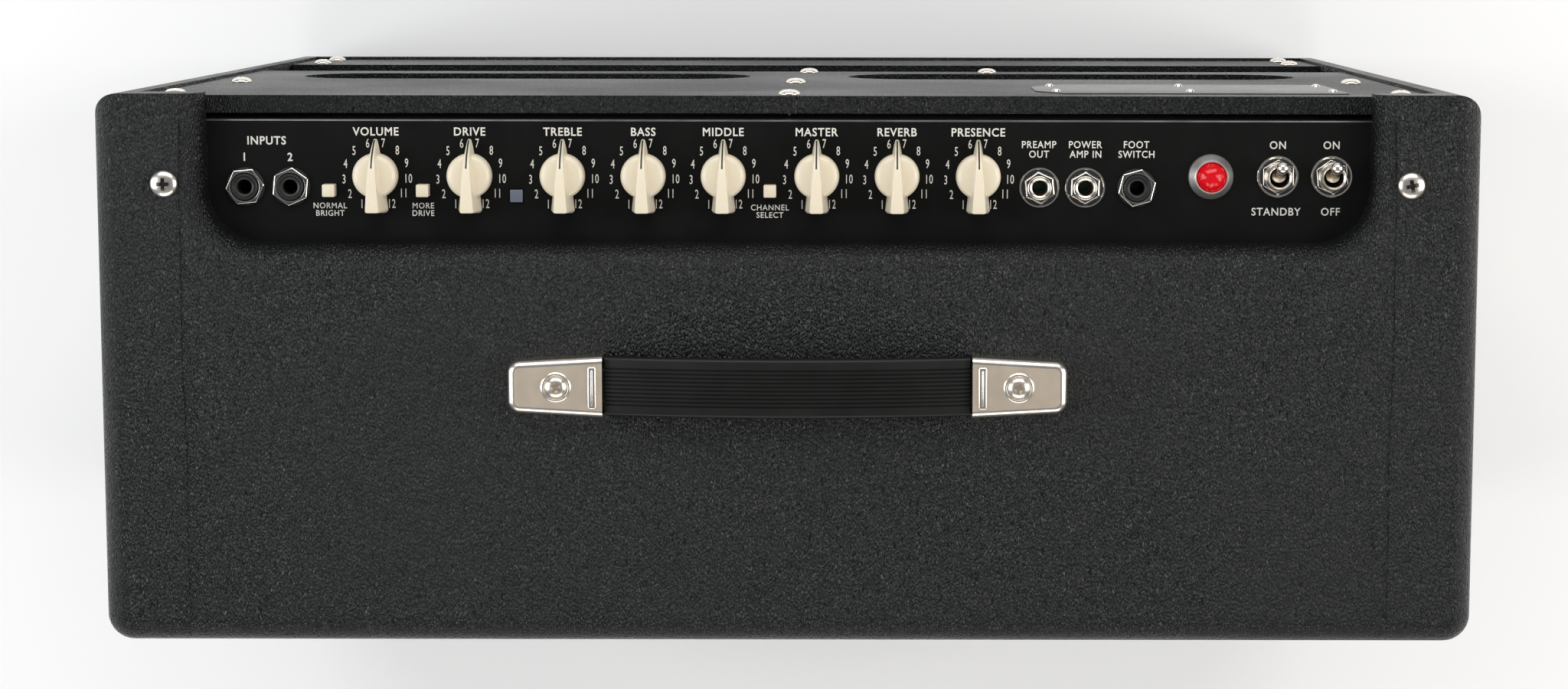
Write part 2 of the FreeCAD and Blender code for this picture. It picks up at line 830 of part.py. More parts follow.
def make_control_panel():
    """Steel face of the chassis with every opening for the controls."""
    half = size("chassis_half")
    body = new_body("control_panel", z=PANEL_UNDER)
    sketch = new_sketch(body, "XY_Plane")
    add_rectangle(sketch, (-half, CHASSIS_BACK - size("chassis_depth")), (half, CHASSIS_BACK))
    for name in KNOBS:
        add_circle(sketch, (size(f"{name}_x"), REAR - size("knob_row")), 3.7)
    jacks = ("input_one", "input_two", "footswitch")
    for name in jacks:
        add_circle(sketch, (size(f"{name}_x"), REAR - size("jack_row")), size("plastic_sleeve") + 0.2)
    for name in ("preamp_out", "power_in"):
        add_circle(sketch, (size(f"{name}_x"), REAR - size("jack_row")), size("metal_sleeve") + 0.2)
    for name in ("standby", "power"):
        add_circle(sketch, (size(f"{name}_x"), REAR - size("switch_row")), size("toggle_sleeve") + 0.1)
    add_circle(sketch, (size("jewel_x"), REAR - size("switch_row")), 7.2)
    windows = [(name, "button_row") for name in BUTTONS] + [("lamp", "lamp_row")]
    for name, row in windows:
        x = size(f"{name}_x")
        y = REAR - size(row)
        room = size("button_hole") / 2
        add_rectangle(sketch, (x - room, y - room), (x + room, y + room))
    for side in (-1, 1):
        add_circle(sketch, (side * size("mount_screw_x"), REAR - size("mount_screw_y")), 2.3)
    pad(body, sketch, STEEL)
    keep(body)


def make_chassis_tray():
    """Folded steel tray under the panel, with holes for sockets and inlet in its floor."""
    half = size("chassis_half")
    depth = size("chassis_depth") / 2
    drop = size("chassis_drop") - 0.1
    body = new_body("chassis_tray", y=CHASSIS_MID, z=PANEL_UNDER - 0.1)
    outside = new_sketch(body, "XY_Plane")
    add_rectangle(outside, (-half, -depth), (half, depth))
    pad(body, outside, drop, reverse=True)
    inside = new_sketch(body, "XY_Plane")
    add_rectangle(inside, (-half + STEEL, -depth + STEEL), (half - STEEL, depth - STEEL))
    cut_down(body, inside, drop - STEEL)
    floor = new_sketch(body, "XY_Plane")
    for x in TUBES["power"]:
        add_circle(floor, (x, TUBE_Y - CHASSIS_MID), 13)
    for x in TUBES["preamp"]:
        add_circle(floor, (x, TUBE_Y - CHASSIS_MID), 9.5)
    add_rectangle(floor, (INLET_X - 14, -10.5), (INLET_X + 14, 10.5))
    cut_through(body, floor)
    keep(body)


def make_circuit_board():
    """Circuit board with its filter capacitors on the underside."""
    low_y = CHASSIS_BACK - size("chassis_depth") + 6
    high_y = CHASSIS_BACK - 6
    board_z = PANEL_TOP - 27
    board = block("circuit_board", (-268, low_y, board_z), (222, high_y, board_z + 1.6))
    keep(board)
    can = master(turned, "capacitor_pattern", [(0, 0), (8.5, 0), (9, 0.5), (9, 36), (0, 36)])
    lie = Rotation(Vector(0, 1, 0), 90)
    places = [(x, CHASSIS_MID + y) for x in (-230, -40, 40) for y in (18,)]
    places += [(x, CHASSIS_MID - 18) for x in (-140, 0)]
    group("filter_capacitors", [placed(can, x, y, board_z - 9.2, lie) for x, y in places])


def make_pots():
    """Potentiometers under the panel: can, threaded bushing and nut in one."""
    bore = size("shaft_bore")
    under = -STEEL - 0.1
    pot = master(
        turned,
        "pot_pattern",
        [
            (bore, under - 9),
            (8, under - 9),
            (8, under),
            (3.5, under),
            (3.5, 0.1),
            (5.6, 0.1),
            (5.6, 2.4),
            (3.5, 2.4),
            (3.5, 5),
            (bore, 5),
        ],
    )
    y = REAR - size("knob_row")
    group("potentiometers", [placed(pot, size(f"{name}_x"), y, PANEL_TOP) for name in KNOBS])


def knob_pair():
    """One pointer knob and the round shaft that it is pressed on."""
    lift = size("knob_lift")
    disc = size("knob_disc")
    tall = size("knob_tall")
    knob = new_body("knob_pattern")
    skirt = new_sketch(knob, "XY_Plane", lift)
    add_circle(skirt, (0, 0), disc)
    pad(knob, skirt, 6.5)
    wing = new_sketch(knob, "XY_Plane", lift)
    tip = size("knob_tip")
    tail = size("knob_tail")
    add_outline(
        wing,
        [(-0.5, tip), (-3.4, 6), (-3.6, 0), (-5.4, -tail), (5.4, -tail), (3.6, 0), (3.4, 6), (0.5, tip)],
    )
    pad(knob, wing, tall)
    hollow = new_sketch(knob, "XY_Plane", lift)
    add_circle(hollow, (0, 0), 6.4)
    cut_down(knob, hollow, 4.8, reverse=True)
    socket = new_sketch(knob, "XY_Plane", lift)
    add_circle(socket, (0, 0), size("shaft_radius"))
    cut_down(knob, socket, 12, reverse=True)
    shaft = turned(
        "shaft_pattern",
        [(0, -9), (size("shaft_radius"), -9), (size("shaft_radius"), lift + 11.9), (0, lift + 11.9)],
    )
    doc.recompute()
    return [knob.Shape, shaft.Shape]


def make_knobs():
    """The eight pointer knobs, each with its own shaft."""
    shapes = knob_pair()
    y = REAR - size("knob_row")
    for name in KNOBS:
        x = size(f"{name}_x")
        group(f"knob_{name}", [placed(shape, x, y, PANEL_TOP) for shape in shapes])


def make_buttons():
    """Square push buttons, the switches that guide them and the lit channel window."""
    side = size("button_side") / 2
    room = size("button_hole") / 2
    y = REAR - size("button_row")
    tall = size("button_tall")
    switch = new_body("switch_pattern")
    case = new_sketch(switch, "XY_Plane", -3)
    add_rectangle(case, (-5, -5), (5, 5))
    pad(switch, case, 20, reverse=True)
    guide = new_sketch(switch, "XY_Plane", -3)
    add_rectangle(guide, (-room, -room), (room, room))
    cut_down(switch, guide, 9.2)
    doc.recompute()
    for name in BUTTONS:
        x = size(f"{name}_x")
        keep(block(f"button_{name}", (-side, -side, -9), (side, side, tall), x, y, PANEL_TOP))
    group(
        "push_switches", [placed(switch.Shape, size(f"{name}_x"), y, PANEL_TOP) for name in BUTTONS]
    )
    lamp = block(
        "channel_lamp", (-side, -side, -6), (side, side, 1), size("lamp_x"), REAR - size("lamp_row"), PANEL_TOP
    )
    keep(lamp)


def jack_profile(sleeve, lip):
    """Half profile of a phone jack: sleeve above the panel, wider case below."""
    bore = size("plug_bore")
    under = -STEEL - 0.1
    return [
        (bore, -22),
        (9, -22),
        (9, under),
        (sleeve, under),
        (sleeve, lip - 0.6),
        (sleeve - 0.6, lip),
        (bore, lip),
    ]


def make_nut(label, bore, flats, low, high, washer=0):
    """A hexagon nut, on a washer of its own where one is given."""
    body = new_body(label)
    sketch = new_sketch(body, "XY_Plane", low)
    corner = flats / math.sqrt(3)
    corners = [
        (corner * math.cos(math.radians(60 * i)), corner * math.sin(math.radians(60 * i)))
        for i in range(6)
    ]
    add_outline(sketch, corners)
    add_circle(sketch, (0, 0), bore)
    pad(body, sketch, high - low)
    shapes = [body]
    if washer:
        shapes.append(
            turned(f"{label}_washer", [(bore, 0.05), (washer, 0.05), (washer, low), (bore, low)])
        )
    doc.recompute()
    return [shape.Shape for shape in shapes]


def make_jacks():
    """Five phone jacks and their nuts."""
    plastic = size("plastic_sleeve")
    metal = size("metal_sleeve")
    y = REAR - size("jack_row")
    black = master(turned, "plastic_jack_pattern", jack_profile(plastic, 3.6))
    bright = master(turned, "metal_jack_pattern", jack_profile(metal, 3.2))
    inputs = ("input_one", "input_two")
    loop = ("preamp_out", "power_in")
    dark = inputs + ("footswitch",)
    group("plastic_jacks", [placed(black, size(f"{name}_x"), y, PANEL_TOP) for name in dark])
    group("metal_jacks", [placed(bright, size(f"{name}_x"), y, PANEL_TOP) for name in loop])
    wide = make_nut("wide_nut", plastic + 0.05, 15.6, 0.05, 2.6)
    slim = make_nut("slim_nut", metal + 0.05, 13.9, 0.5, 2.6, washer=8.9)
    shapes = []
    for name in dark:
        shapes += [placed(shape, size(f"{name}_x"), y, PANEL_TOP) for shape in wide]
    for name in loop:
        shapes += [placed(shape, size(f"{name}_x"), y, PANEL_TOP) for shape in slim]
    group("jack_nuts", shapes)


def toggle_lever():
    """A bat lever that grows to a ball, with its cross pin and short tail."""
    reach = size("lever_reach").value
    pin = size("pivot_radius").value
    bat = Part.makeCone(1.5, 2.1, reach - 2, Vector(0, 0, 0))
    ball = Part.makeSphere(2.7, Vector(0, 0, reach - 2.2))
    tail = Part.makeCone(1.1, 1.5, 4, Vector(0, 0, -4))
    cross = Part.makeCylinder(pin, 10.4, Vector(-5.2, 0, 0), Vector(1, 0, 0))
    return bat.fuse([ball, tail, cross])


def make_toggles():
    """Standby and power switches: case with sleeve, lever, nut and washer."""
    bore = size("toggle_bore")
    sleeve = size("toggle_sleeve")
    tall = size("toggle_tall")
    under = -STEEL - 0.1
    case = turned(
        "toggle_pattern",
        [(bore, under - 6), (9, under - 6), (9, under), (sleeve, under), (sleeve, tall), (bore, tall)],
    )
    doc.recompute()
    pivot = size("pivot_lift").value
    drill = Part.makeCylinder(
        size("pivot_bore").value, 30, Vector(-15, 0, pivot), Vector(1, 0, 0)
    )
    shell = case.Shape.cut(drill)
    y = REAR - size("switch_row")
    names = ("standby", "power")
    group("toggle_cases", [placed(shell, size(f"{name}_x"), y, PANEL_TOP) for name in names])
    lever = toggle_lever()
    lean = Rotation(Vector(1, 0, 0), -size("lever_tilt").value)
    for name in names:
        piece = doc.addObject("Part::Feature", f"toggle_{name}")
        piece.Label = f"toggle_{name}"
        piece.Shape = lever
        piece.Placement = Placement(
            Vector(size(f"{name}_x").value, y.value, PANEL_TOP.value + pivot), lean
        )
        keep(piece)
    nut = make_nut("toggle_nut", sleeve + 0.05, 13.6, 0.5, 2.8, washer=9.2)
    shapes = [placed(shape, size(f"{name}_x"), y, PANEL_TOP) for name in names for shape in nut]
    group("toggle_nuts", shapes)


def make_jewel():
    """Pilot lamp: faceted lens, spun bezel and the lamp holder below."""
    x = size("jewel_x")
    y = REAR - size("switch_row")
    keep(
        turned(
            "jewel_bezel",
            [(6.4, 0.05), (9.85, 0.05), (9.85, 1.6), (7.6, 5), (6.6, 5.2), (6.4, 5)],
            x,
            y,
            PANEL_TOP,
        )
    )
    keep(
        turned(
            "jewel_lens",
            [(0, 1), (6.2, 1), (6.2, 5.4), (4.8, 7.6), (2.6, 8.9), (0, 9.3)],
            x,
            y,
            PANEL_TOP,
        )
    )
    keep(
        turned(
            "lamp_holder",
            [(0, -20), (7, -20), (7, 0), (6.2, 0), (6.2, -3), (0, -3)],
            x,
            y,
            PANEL_TOP,
        )
    )


INLET_X = 250


def make_inlet():
    """Three-pin mains inlet let into the chassis floor, facing down."""
    floor = CHASSIS_FLOOR
    body = new_body("mains_inlet", INLET_X, CHASSIS_MID, floor)
    case = new_sketch(body, "XY_Plane", -0.1)
    add_rectangle(case, (-13.6, -10.1), (13.6, 10.1))
    pad(body, case, 24)
    flange = new_sketch(body, "XY_Plane", -0.1)
    add_rectangle(flange, (-17, -13), (17, 13))
    pad(body, flange, 2.6, reverse=True)
    mouth = new_sketch(body, "XY_Plane", -2.7)
    add_outline(mouth, [(-12, -8), (12, -8), (12, 4), (8, 8), (-8, 8), (-12, 4)])
    cut_down(body, mouth, 18, reverse=True)
    for x, y in ((-7, 0), (7, 0), (0, 4)):
        pin = new_sketch(body, "XY_Plane", 16)
        add_rectangle(pin, (x - 1, y - 2), (x + 1, y + 2))
        pad(body, pin, 15, reverse=True)
    keep(body)


def make_transformers():
    """Laminated mains and output transformers under the chassis floor."""
    for label, x, half_x, half_y, drop in (
        ("power_transformer", 182, 42, 36, 78),
        ("output_transformer", -5, 34, 28, 62),
    ):
        body = new_body(label, x, CHASSIS_MID, CHASSIS_FLOOR - 0.1)
        stack = new_sketch(body, "XY_Plane", -6)
        add_rectangle(stack, (-half_x, -half_y + 14), (half_x, half_y - 14))
        pad(body, stack, drop - 6, reverse=True)
        coil = new_sketch(body, "XY_Plane", -14)
        add_rectangle(coil, (-half_x + 12, -half_y), (half_x - 12, half_y))
        pad(body, coil, drop - 22, reverse=True)
        flange = new_sketch(body, "XY_Plane")
        add_rectangle(flange, (-half_x, -half_y + 6), (half_x, half_y - 6))
        pad(body, flange, 6, reverse=True)
        keep(body)


def make_tubes():
    """Sockets, glass tubes hanging from them, and the shields of the small ones."""
    down = Rotation(Vector(1, 0, 0), 180)
    floor = CHASSIS_FLOOR - 0.1
    octal = master(turned, "octal_pattern", [(0, 0), (16, 0), (16, 5), (14, 9), (0, 9)])
    noval = master(turned, "noval_pattern", [(0, 0), (12, 0), (12, 4), (11, 7), (0, 7)])
    sockets = [placed(octal, x, TUBE_Y, floor, down) for x in TUBES["power"]]
    sockets += [placed(noval, x, TUBE_Y, floor, down) for x in TUBES["preamp"]]
    group("tube_sockets", sockets)
    power = master(
        turned,
        "power_tube_pattern",
        [(0, 9.1), (16, 9.1), (16, 22), (18.5, 30), (19, 60), (17, 82), (11, 92), (0, 96)],
    )
    group("power_tubes", [placed(power, x, TUBE_Y, floor, down) for x in TUBES["power"]])
    small = master(
        turned, "preamp_tube_pattern", [(0, 7.1), (10.5, 7.1), (10.5, 48), (7, 52), (2, 53), (1, 57), (0, 57)]
    )
    group("preamp_tubes", [placed(small, x, TUBE_Y, floor, down) for x in TUBES["preamp"]])
    shield = master(
        turned, "shield_pattern", [(10.8, 7.2), (12, 7.2), (12, 60), (4, 60), (4, 59), (10.8, 59)]
    )
    group("tube_shields", [placed(shield, x, TUBE_Y, floor, down) for x in TUBES["preamp"]])


def make_reverb():
    """Reverb tank on the cabinet floor, with the two springs that it holds."""
    tank = new_body("reverb_tank", y=CHASSIS_MID - 10, z=INNER_BASE + 0.1)
    outside = new_sketch(tank, "XY_Plane")
    add_rectangle(outside, (-212, -55), (212, 55))
    pad(tank, outside, 33)
    inside = new_sketch(tank, "XY_Plane", 33)
    add_rectangle(inside, (-210.8, -53.8), (210.8, 53.8))
    cut_down(tank, inside, 31.8)
    keep(tank)
    spring = master(turned, "spring_pattern", [(1.6, -160), (2.6, -160), (2.6, 160), (1.6, 160)])
    lie = Rotation(Vector(0, 1, 0), 90)
    y = CHASSIS_MID - 10
    group(
        "reverb_springs",
        [placed(spring, 0, y + offset, INNER_BASE + 16, lie) for offset in (-22, 22)],
    )


# ---------------------------------------------------------------------------------------
# Build, check and export
# ---------------------------------------------------------------------------------------
def check_document():
    """Stop if any object failed or any sub-part is empty or invalid."""
    for item in doc.Objects:
        faults = [state for state in item.State if state in ("Invalid", "Error")]
        if faults:
            raise RuntimeError(f"{item.Label}: {faults}")
    for piece in nodes:
        if piece.Shape.isNull() or not piece.Shape.isValid() or not piece.Shape.Solids:
            raise RuntimeError(f"{piece.Label} has no valid solid")


def main():
    """Build every sub-part and write one STEP file for each."""
    make_boards()
    make_feet()
    make_baffle()
    make_grille()
    make_speaker()
    make_back_panels()
    make_cleats()
    make_screws()
    make_rating_plate()
    make_handle()
    make_control_panel()
    make_chassis_tray()
    make_circuit_board()
    make_pots()
    make_knobs()
    make_buttons()
    make_jacks()
    make_toggles()
    make_jewel()
    make_inlet()
    make_transformers()
    make_tubes()
    make_reverb()
    doc.recompute()
    check_document()
    for piece in nodes:
        piece.Shape.exportStep(f"parts/{piece.Label}.step")
        box = piece.Shape.BoundBox
        print(
            f"{piece.Label:22s} solids {len(piece.Shape.Solids)}  volume {piece.Shape.Volume:12.1f}"
            f"  x {box.XMin:7.1f} {box.XMax:7.1f}  y {box.YMin:7.1f} {box.YMax:7.1f}"
            f"  z {box.ZMin:7.1f} {box.ZMax:7.1f}"
        )
    print(len(nodes), "sub-parts")


main()
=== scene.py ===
"""Guitar combo amplifier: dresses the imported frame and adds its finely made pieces.

The frame gives every place and size. Each sub-assembly is a class with its own sizes, and
each finish is a small class that builds one procedural material. Lengths are in metres.
"""

import json
import logging
import math
from dataclasses import dataclass, field
from enum import Enum
from typing import Callable, Optional, Sequence

import bmesh
import bpy
from mathutils import Matrix, Vector

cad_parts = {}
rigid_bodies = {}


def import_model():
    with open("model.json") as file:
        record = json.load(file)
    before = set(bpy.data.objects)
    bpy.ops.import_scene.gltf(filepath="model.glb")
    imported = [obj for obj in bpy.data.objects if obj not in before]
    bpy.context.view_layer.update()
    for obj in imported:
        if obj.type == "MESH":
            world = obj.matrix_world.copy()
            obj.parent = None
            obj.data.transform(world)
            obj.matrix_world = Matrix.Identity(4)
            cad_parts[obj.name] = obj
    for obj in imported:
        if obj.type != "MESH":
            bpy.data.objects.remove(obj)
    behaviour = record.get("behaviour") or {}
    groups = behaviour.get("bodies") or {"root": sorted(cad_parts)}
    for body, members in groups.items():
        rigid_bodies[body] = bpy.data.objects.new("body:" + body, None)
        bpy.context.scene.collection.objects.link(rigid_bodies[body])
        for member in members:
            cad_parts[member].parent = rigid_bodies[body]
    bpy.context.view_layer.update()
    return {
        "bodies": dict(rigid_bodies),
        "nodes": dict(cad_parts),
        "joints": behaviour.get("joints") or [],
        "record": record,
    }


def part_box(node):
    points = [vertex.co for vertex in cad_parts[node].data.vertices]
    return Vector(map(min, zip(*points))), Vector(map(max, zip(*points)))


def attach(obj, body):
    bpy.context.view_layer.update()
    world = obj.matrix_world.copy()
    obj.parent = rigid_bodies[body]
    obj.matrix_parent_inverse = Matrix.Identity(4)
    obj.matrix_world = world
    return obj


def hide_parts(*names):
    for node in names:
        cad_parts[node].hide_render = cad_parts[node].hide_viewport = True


MM = 0.001
CABINET = "cabinet"
LOG = logging.getLogger("combo")

Point = tuple[float, float]
Colour = tuple[float, float, float]


# ---------------------------------------------------------------------------------------
# Shader building
# ---------------------------------------------------------------------------------------
class Shader:
    """One material's nodes round a Principled surface, read on Object coordinates."""

    def __init__(self, name: str) -> None:
        """Start a material.

        Args:
            name: the material's name.
        """
        self.material = bpy.data.materials.new(name)
        self.material.use_nodes = True
        self.tree = self.material.node_tree
        self.surface = self.tree.nodes["Principled BSDF"]
        self.place = self.node("ShaderNodeTexCoord").outputs["Object"]

    def node(self, kind: str, **settings: object) -> bpy.types.Node:
        """Add a node and set its own properties.

        Args:
            kind: the node's type name.
            settings: property names and their values.

        Returns:
            The new node.
        """
        made = self.tree.nodes.new(kind)
        for name, value in settings.items():
            setattr(made, name, value)
        return made

    def link(self, source: bpy.types.NodeSocket, target: bpy.types.NodeSocket) -> None:
        """Join an output to an input.

        Args:
            source: the output to join or to work from.
            target: the input it feeds.
        """
        self.tree.links.new(source, target)

    def constant(self, **values: object) -> None:
        """Set plain values on the surface's own sockets, with _ for a space.

        Args:
            values: the sockets and their values.
        """
        for name, value in values.items():
            self.surface.inputs[name.replace("_", " ")].default_value = value

    def feed(self, socket: str, source: bpy.types.NodeSocket) -> None:
        """Join an output to one of the surface's sockets.

        Args:
            socket: the socket's name.
            source: the output to join or to work from.
        """
        self.link(source, self.surface.inputs[socket])

    def mapped(
        self,
        scale: Sequence[float],
        turn: Sequence[float] = (0, 0, 0),
        shift: Sequence[float] = (0, 0, 0),
        source: Optional[bpy.types.NodeSocket] = None,
    ) -> bpy.types.NodeSocket:
        """Scale, turn and shift the coordinates.

        Args:
            scale: factors along X, Y and Z.
            turn: turns about X, Y and Z in radians.
            shift: what is added after turning and scaling.
            source: the vector to change, or the object's coordinates.

        Returns:
            The changed vector.
        """
        mapping = self.node("ShaderNodeMapping")
        self.link(source or self.place, mapping.inputs["Vector"])
        mapping.inputs["Scale"].default_value = scale
        mapping.inputs["Rotation"].default_value = turn
        mapping.inputs["Location"].default_value = shift
        return mapping.outputs["Vector"]

    def noise(
        self, scale: float, detail: float = 2.0, source: Optional[bpy.types.NodeSocket] = None
    ) -> bpy.types.Node:
        """Add a noise texture.

        Args:
            scale: features per metre of the source.
            detail: its octaves.
            source: the vector to read, or the object's coordinates.

        Returns:
            The noise node.
        """
        made = self.node("ShaderNodeTexNoise")
        made.inputs["Scale"].default_value = scale
        made.inputs["Detail"].default_value = detail
        self.link(source or self.place, made.inputs["Vector"])
        return made

    def cells(
        self, scale: float, feature: str, source: Optional[bpy.types.NodeSocket] = None
    ) -> bpy.types.NodeSocket:
        """Add a cell texture and return its distance.

        Args:
            scale: cells per metre.
            feature: which distance it gives.
            source: the output to join or to work from.

        Returns:
            The distance.
        """
        made = self.node("ShaderNodeTexVoronoi", feature=feature)
        made.inputs["Scale"].default_value = scale
        self.link(source or self.place, made.inputs["Vector"])
        return made.outputs["Distance"]

    def spread(
        self, value: bpy.types.NodeSocket, low: float, high: float, to_low: float, to_high: float
    ) -> bpy.types.NodeSocket:
        """Map a value from one range to another, smoothly and within its ends.

        Args:
            value: the value to map.
            low: where the source range starts.
            high: where it ends.
            to_low: what low becomes.
            to_high: what high becomes.

        Returns:
            The mapped value.
        """
        made = self.node("ShaderNodeMapRange", interpolation_type="SMOOTHSTEP")
        self.link(value, made.inputs["Value"])
        for name, number in (
            ("From Min", low),
            ("From Max", high),
            ("To Min", to_low),
            ("To Max", to_high),
        ):
            made.inputs[name].default_value = number
        return made.outputs["Result"]

    def sum(
        self, first: bpy.types.NodeSocket, second: bpy.types.NodeSocket, operation: str = "ADD"
    ) -> bpy.types.NodeSocket:
        """Add or otherwise combine two values.

        Args:
            first: the first value.
            second: the second value.
            operation: a Math operation.

        Returns:
            The result.
        """
        made = self.node("ShaderNodeMath", operation=operation)
        self.link(first, made.inputs[0])
        self.link(second, made.inputs[1])
        return made.outputs[0]

    def blend(
        self, share: bpy.types.NodeSocket, first: Colour, second: Colour
    ) -> bpy.types.NodeSocket:
        """Mix two plain colours by a value.

        Args:
            share: 0 for the first colour and 1 for the second.
            first: linear red, green and blue.
            second: linear red, green and blue.

        Returns:
            The colour.
        """
        made = self.node("ShaderNodeMix", data_type="RGBA")
        self.link(share, made.inputs["Factor"])
        for socket in made.inputs:
            if socket.type == "RGBA" and socket.name in ("A", "B"):
                socket.default_value = (*(first if socket.name == "A" else second), 1)
        return next(s for s in made.outputs if s.type == "RGBA")

    def mix_colours(
        self,
        share: bpy.types.NodeSocket,
        first: bpy.types.NodeSocket,
        second: bpy.types.NodeSocket,
    ) -> bpy.types.NodeSocket:
        """Mix two linked colours by a value.

        Args:
            share: 0 for the first colour and 1 for the second.
            first: a colour output.
            second: a colour output.

        Returns:
            The colour.
        """
        made = self.node("ShaderNodeMix", data_type="RGBA")
        self.link(share, made.inputs["Factor"])
        ends = [s for s in made.inputs if s.type == "RGBA"]
        self.link(first, ends[0])
        self.link(second, ends[1])
        return next(s for s in made.outputs if s.type == "RGBA")

    def relief(
        self, height: bpy.types.NodeSocket, depth: float, strength: float = 1.0
    ) -> None:
        """Raise the surface by a height.

        Args:
            height: a value from 0 to 1.
            depth: the depth of that range in metres.
            strength: how much of it shows.
        """
        made = self.node("ShaderNodeBump")
        made.inputs["Distance"].default_value = depth
        made.inputs["Strength"].default_value = strength
        self.link(height, made.inputs["Height"])
        self.feed("Normal", made.outputs["Normal"])


@dataclass(frozen=True)
class Finish:
    """A finish with a name, and the record's material slot that it shows."""

    label: str
    slot: str

    def shade(self, shader: Shader) -> None:
        """Fill in the shader. Each finish does this its own way.

        Args:
            shader: the shader to fill in.
        """
        raise NotImplementedError

    def material(self) -> bpy.types.Material:
        """Give the finish's material, built once.

        Returns:
            The material.
        """
        found = bpy.data.materials.get(self.label)
        if found is not None:
            return found
        shader = Shader(self.label)
        self.shade(shader)
        return shader.material


@dataclass(frozen=True)
class Leathercloth(Finish):
    """Black vinyl covering with a long pebble grain whose valleys are coloured darker as painted shade, and
    bare ply inside the box.
    """

    # The valley colour is painted shade: the grain's creases are coloured darker than the crowns.
    valley: Colour = (0.003, 0.0034, 0.0038)
    crown: Colour = (0.0105, 0.0122, 0.0125)
    wide: float = 0.95 * MM
    long: float = 2.1 * MM
    depth: float = 0.45 * MM
    lean: float = math.radians(14)
    gloss: float = 0.36
    bare_inside: bool = False

    def grain(self, shader: Shader) -> bpy.types.NodeSocket:
        """Draw the pebbles.

        Args:
            shader: the shader to add to.

        Returns:
            Their height from 0 to 1.
        """
        wander = shader.noise(120, 2)
        bent = shader.node("ShaderNodeVectorMath", operation="MULTIPLY_ADD")
        shader.link(wander.outputs["Color"], bent.inputs[0])
        bent.inputs[1].default_value = (2.6 * MM, 2.6 * MM, 2.6 * MM)
        shader.link(shader.place, bent.inputs[2])
        stretched = shader.mapped(
            (1 / self.wide, 1 / self.long, 1 / self.long),
            turn=(0, 0, self.lean),
            source=bent.outputs["Vector"],
        )
        edge = shader.cells(1.0, "DISTANCE_TO_EDGE", stretched)
        pebble = shader.spread(edge, 0.0, 0.34, 0.0, 1.0)
        size = shader.cells(1.0, "F1", stretched)
        crown = shader.spread(size, 0.0, 0.75, 0.45, 0.0)
        return shader.sum(pebble, crown)

    def shade(self, shader: Shader) -> None:
        """Grain with painted shade in its valleys, slow patches of sheen, and ply where the box is bare.

        Args:
            shader: the shader to fill in.
        """
        height = self.grain(shader)
        patches = shader.noise(9, 2).outputs["Fac"]
        # Colour by grain height: the low places take the valley colour, which is painted shade in the
        # creases.
        cover_with_painted_shade = shader.blend(height, self.valley, self.crown)
        rough = shader.spread(patches, 0.3, 0.7, 0.27, 0.4)
        shader.constant(Specular_IOR_Level=self.gloss, Coat_Weight=0.0)
        if self.bare_inside:
            inside = self.inside(shader)
            along = shader.mapped((1.0, 14.0, 14.0))
            rings = shader.noise(26, 5, along).outputs["Fac"]
            wood = shader.blend(rings, (0.33, 0.2, 0.1), (0.52, 0.36, 0.2))
            shader.feed("Base Color", shader.mix_colours(inside, cover_with_painted_shade, wood))
            shader.feed("Roughness", shader.sum(rough, shader.spread(inside, 0, 1, 0, 0.25)))
        else:
            shader.feed("Base Color", cover_with_painted_shade)
            shader.feed("Roughness", rough)
        shader.relief(height, self.depth, 0.9)

    def inside(self, shader: Shader) -> bpy.types.NodeSocket:
        """Tell the bare inner faces of the box from its covered ones.

        Args:
            shader: the shader to add to.

        Returns:
            1 on an inner face, and 0 elsewhere.
        """
        parts = shader.node("ShaderNodeSeparateXYZ")
        shader.link(shader.place, parts.inputs["Vector"])
        half = shader.node("ShaderNodeMath", operation="ABSOLUTE")
        shader.link(parts.outputs["X"], half.inputs[0])
        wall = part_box("side_board_right")[0].x
        floor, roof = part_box("bottom_board")[1].z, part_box("top_board")[0].z
        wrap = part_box("panel_cleats")[1].y - 14 * MM
        across = shader.spread(half.outputs[0], wall + 0.05 * MM, wall + 0.1 * MM, 1, 0)
        over = shader.spread(parts.outputs["Z"], floor - 0.1 * MM, floor - 0.05 * MM, 0, 1)
        under = shader.spread(parts.outputs["Z"], roof, roof + 0.05 * MM, 1, 0)
        before = shader.spread(parts.outputs["Y"], wrap, wrap + 0.5 * MM, 1, 0)
        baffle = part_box("baffle_board")[1].y
        behind = shader.spread(parts.outputs["Y"], baffle, baffle + 0.5 * MM, 0, 1)
        level = shader.sum(over, under, "MULTIPLY")
        deep = shader.sum(before, behind, "MULTIPLY")
        return shader.sum(shader.sum(across, level, "MULTIPLY"), deep, "MULTIPLY")


@dataclass(frozen=True)
class Moulded(Finish):
    """Moulded plastic, rubber, paint or ink, with a faint mottle and fine texture."""

    colour: Colour = (0.5, 0.5, 0.5)
    shade_by: float = 0.86
    rough: float = 0.4
    speckle: float = 1500.0
    depth: float = 0.02 * MM
    through: float = 0.0
    coat: float = 0.0
    gloss: float = 0.5

    def shade(self, shader: Shader) -> None:
        """Mottled colour, a roughness that wanders, and a fine relief.

        Args:
            shader: the shader to fill in.
        """
        fine = shader.noise(self.speckle, 3).outputs["Fac"]
        broad = shader.noise(60, 3).outputs["Fac"]
        darker = tuple(c * self.shade_by for c in self.colour)
        shader.feed("Base Color", shader.blend(shader.sum(fine, broad, "MULTIPLY"), self.colour, darker))
        shader.feed("Roughness", shader.spread(broad, 0.25, 0.75, self.rough * 0.88, self.rough * 1.12))
        shader.constant(Subsurface_Weight=self.through, Coat_Weight=self.coat, Coat_Roughness=0.2)
        shader.constant(Specular_IOR_Level=self.gloss)
        shader.constant(Subsurface_Radius=(1.2 * MM, 0.9 * MM, 0.6 * MM))
        shader.relief(fine, self.depth, 0.6)


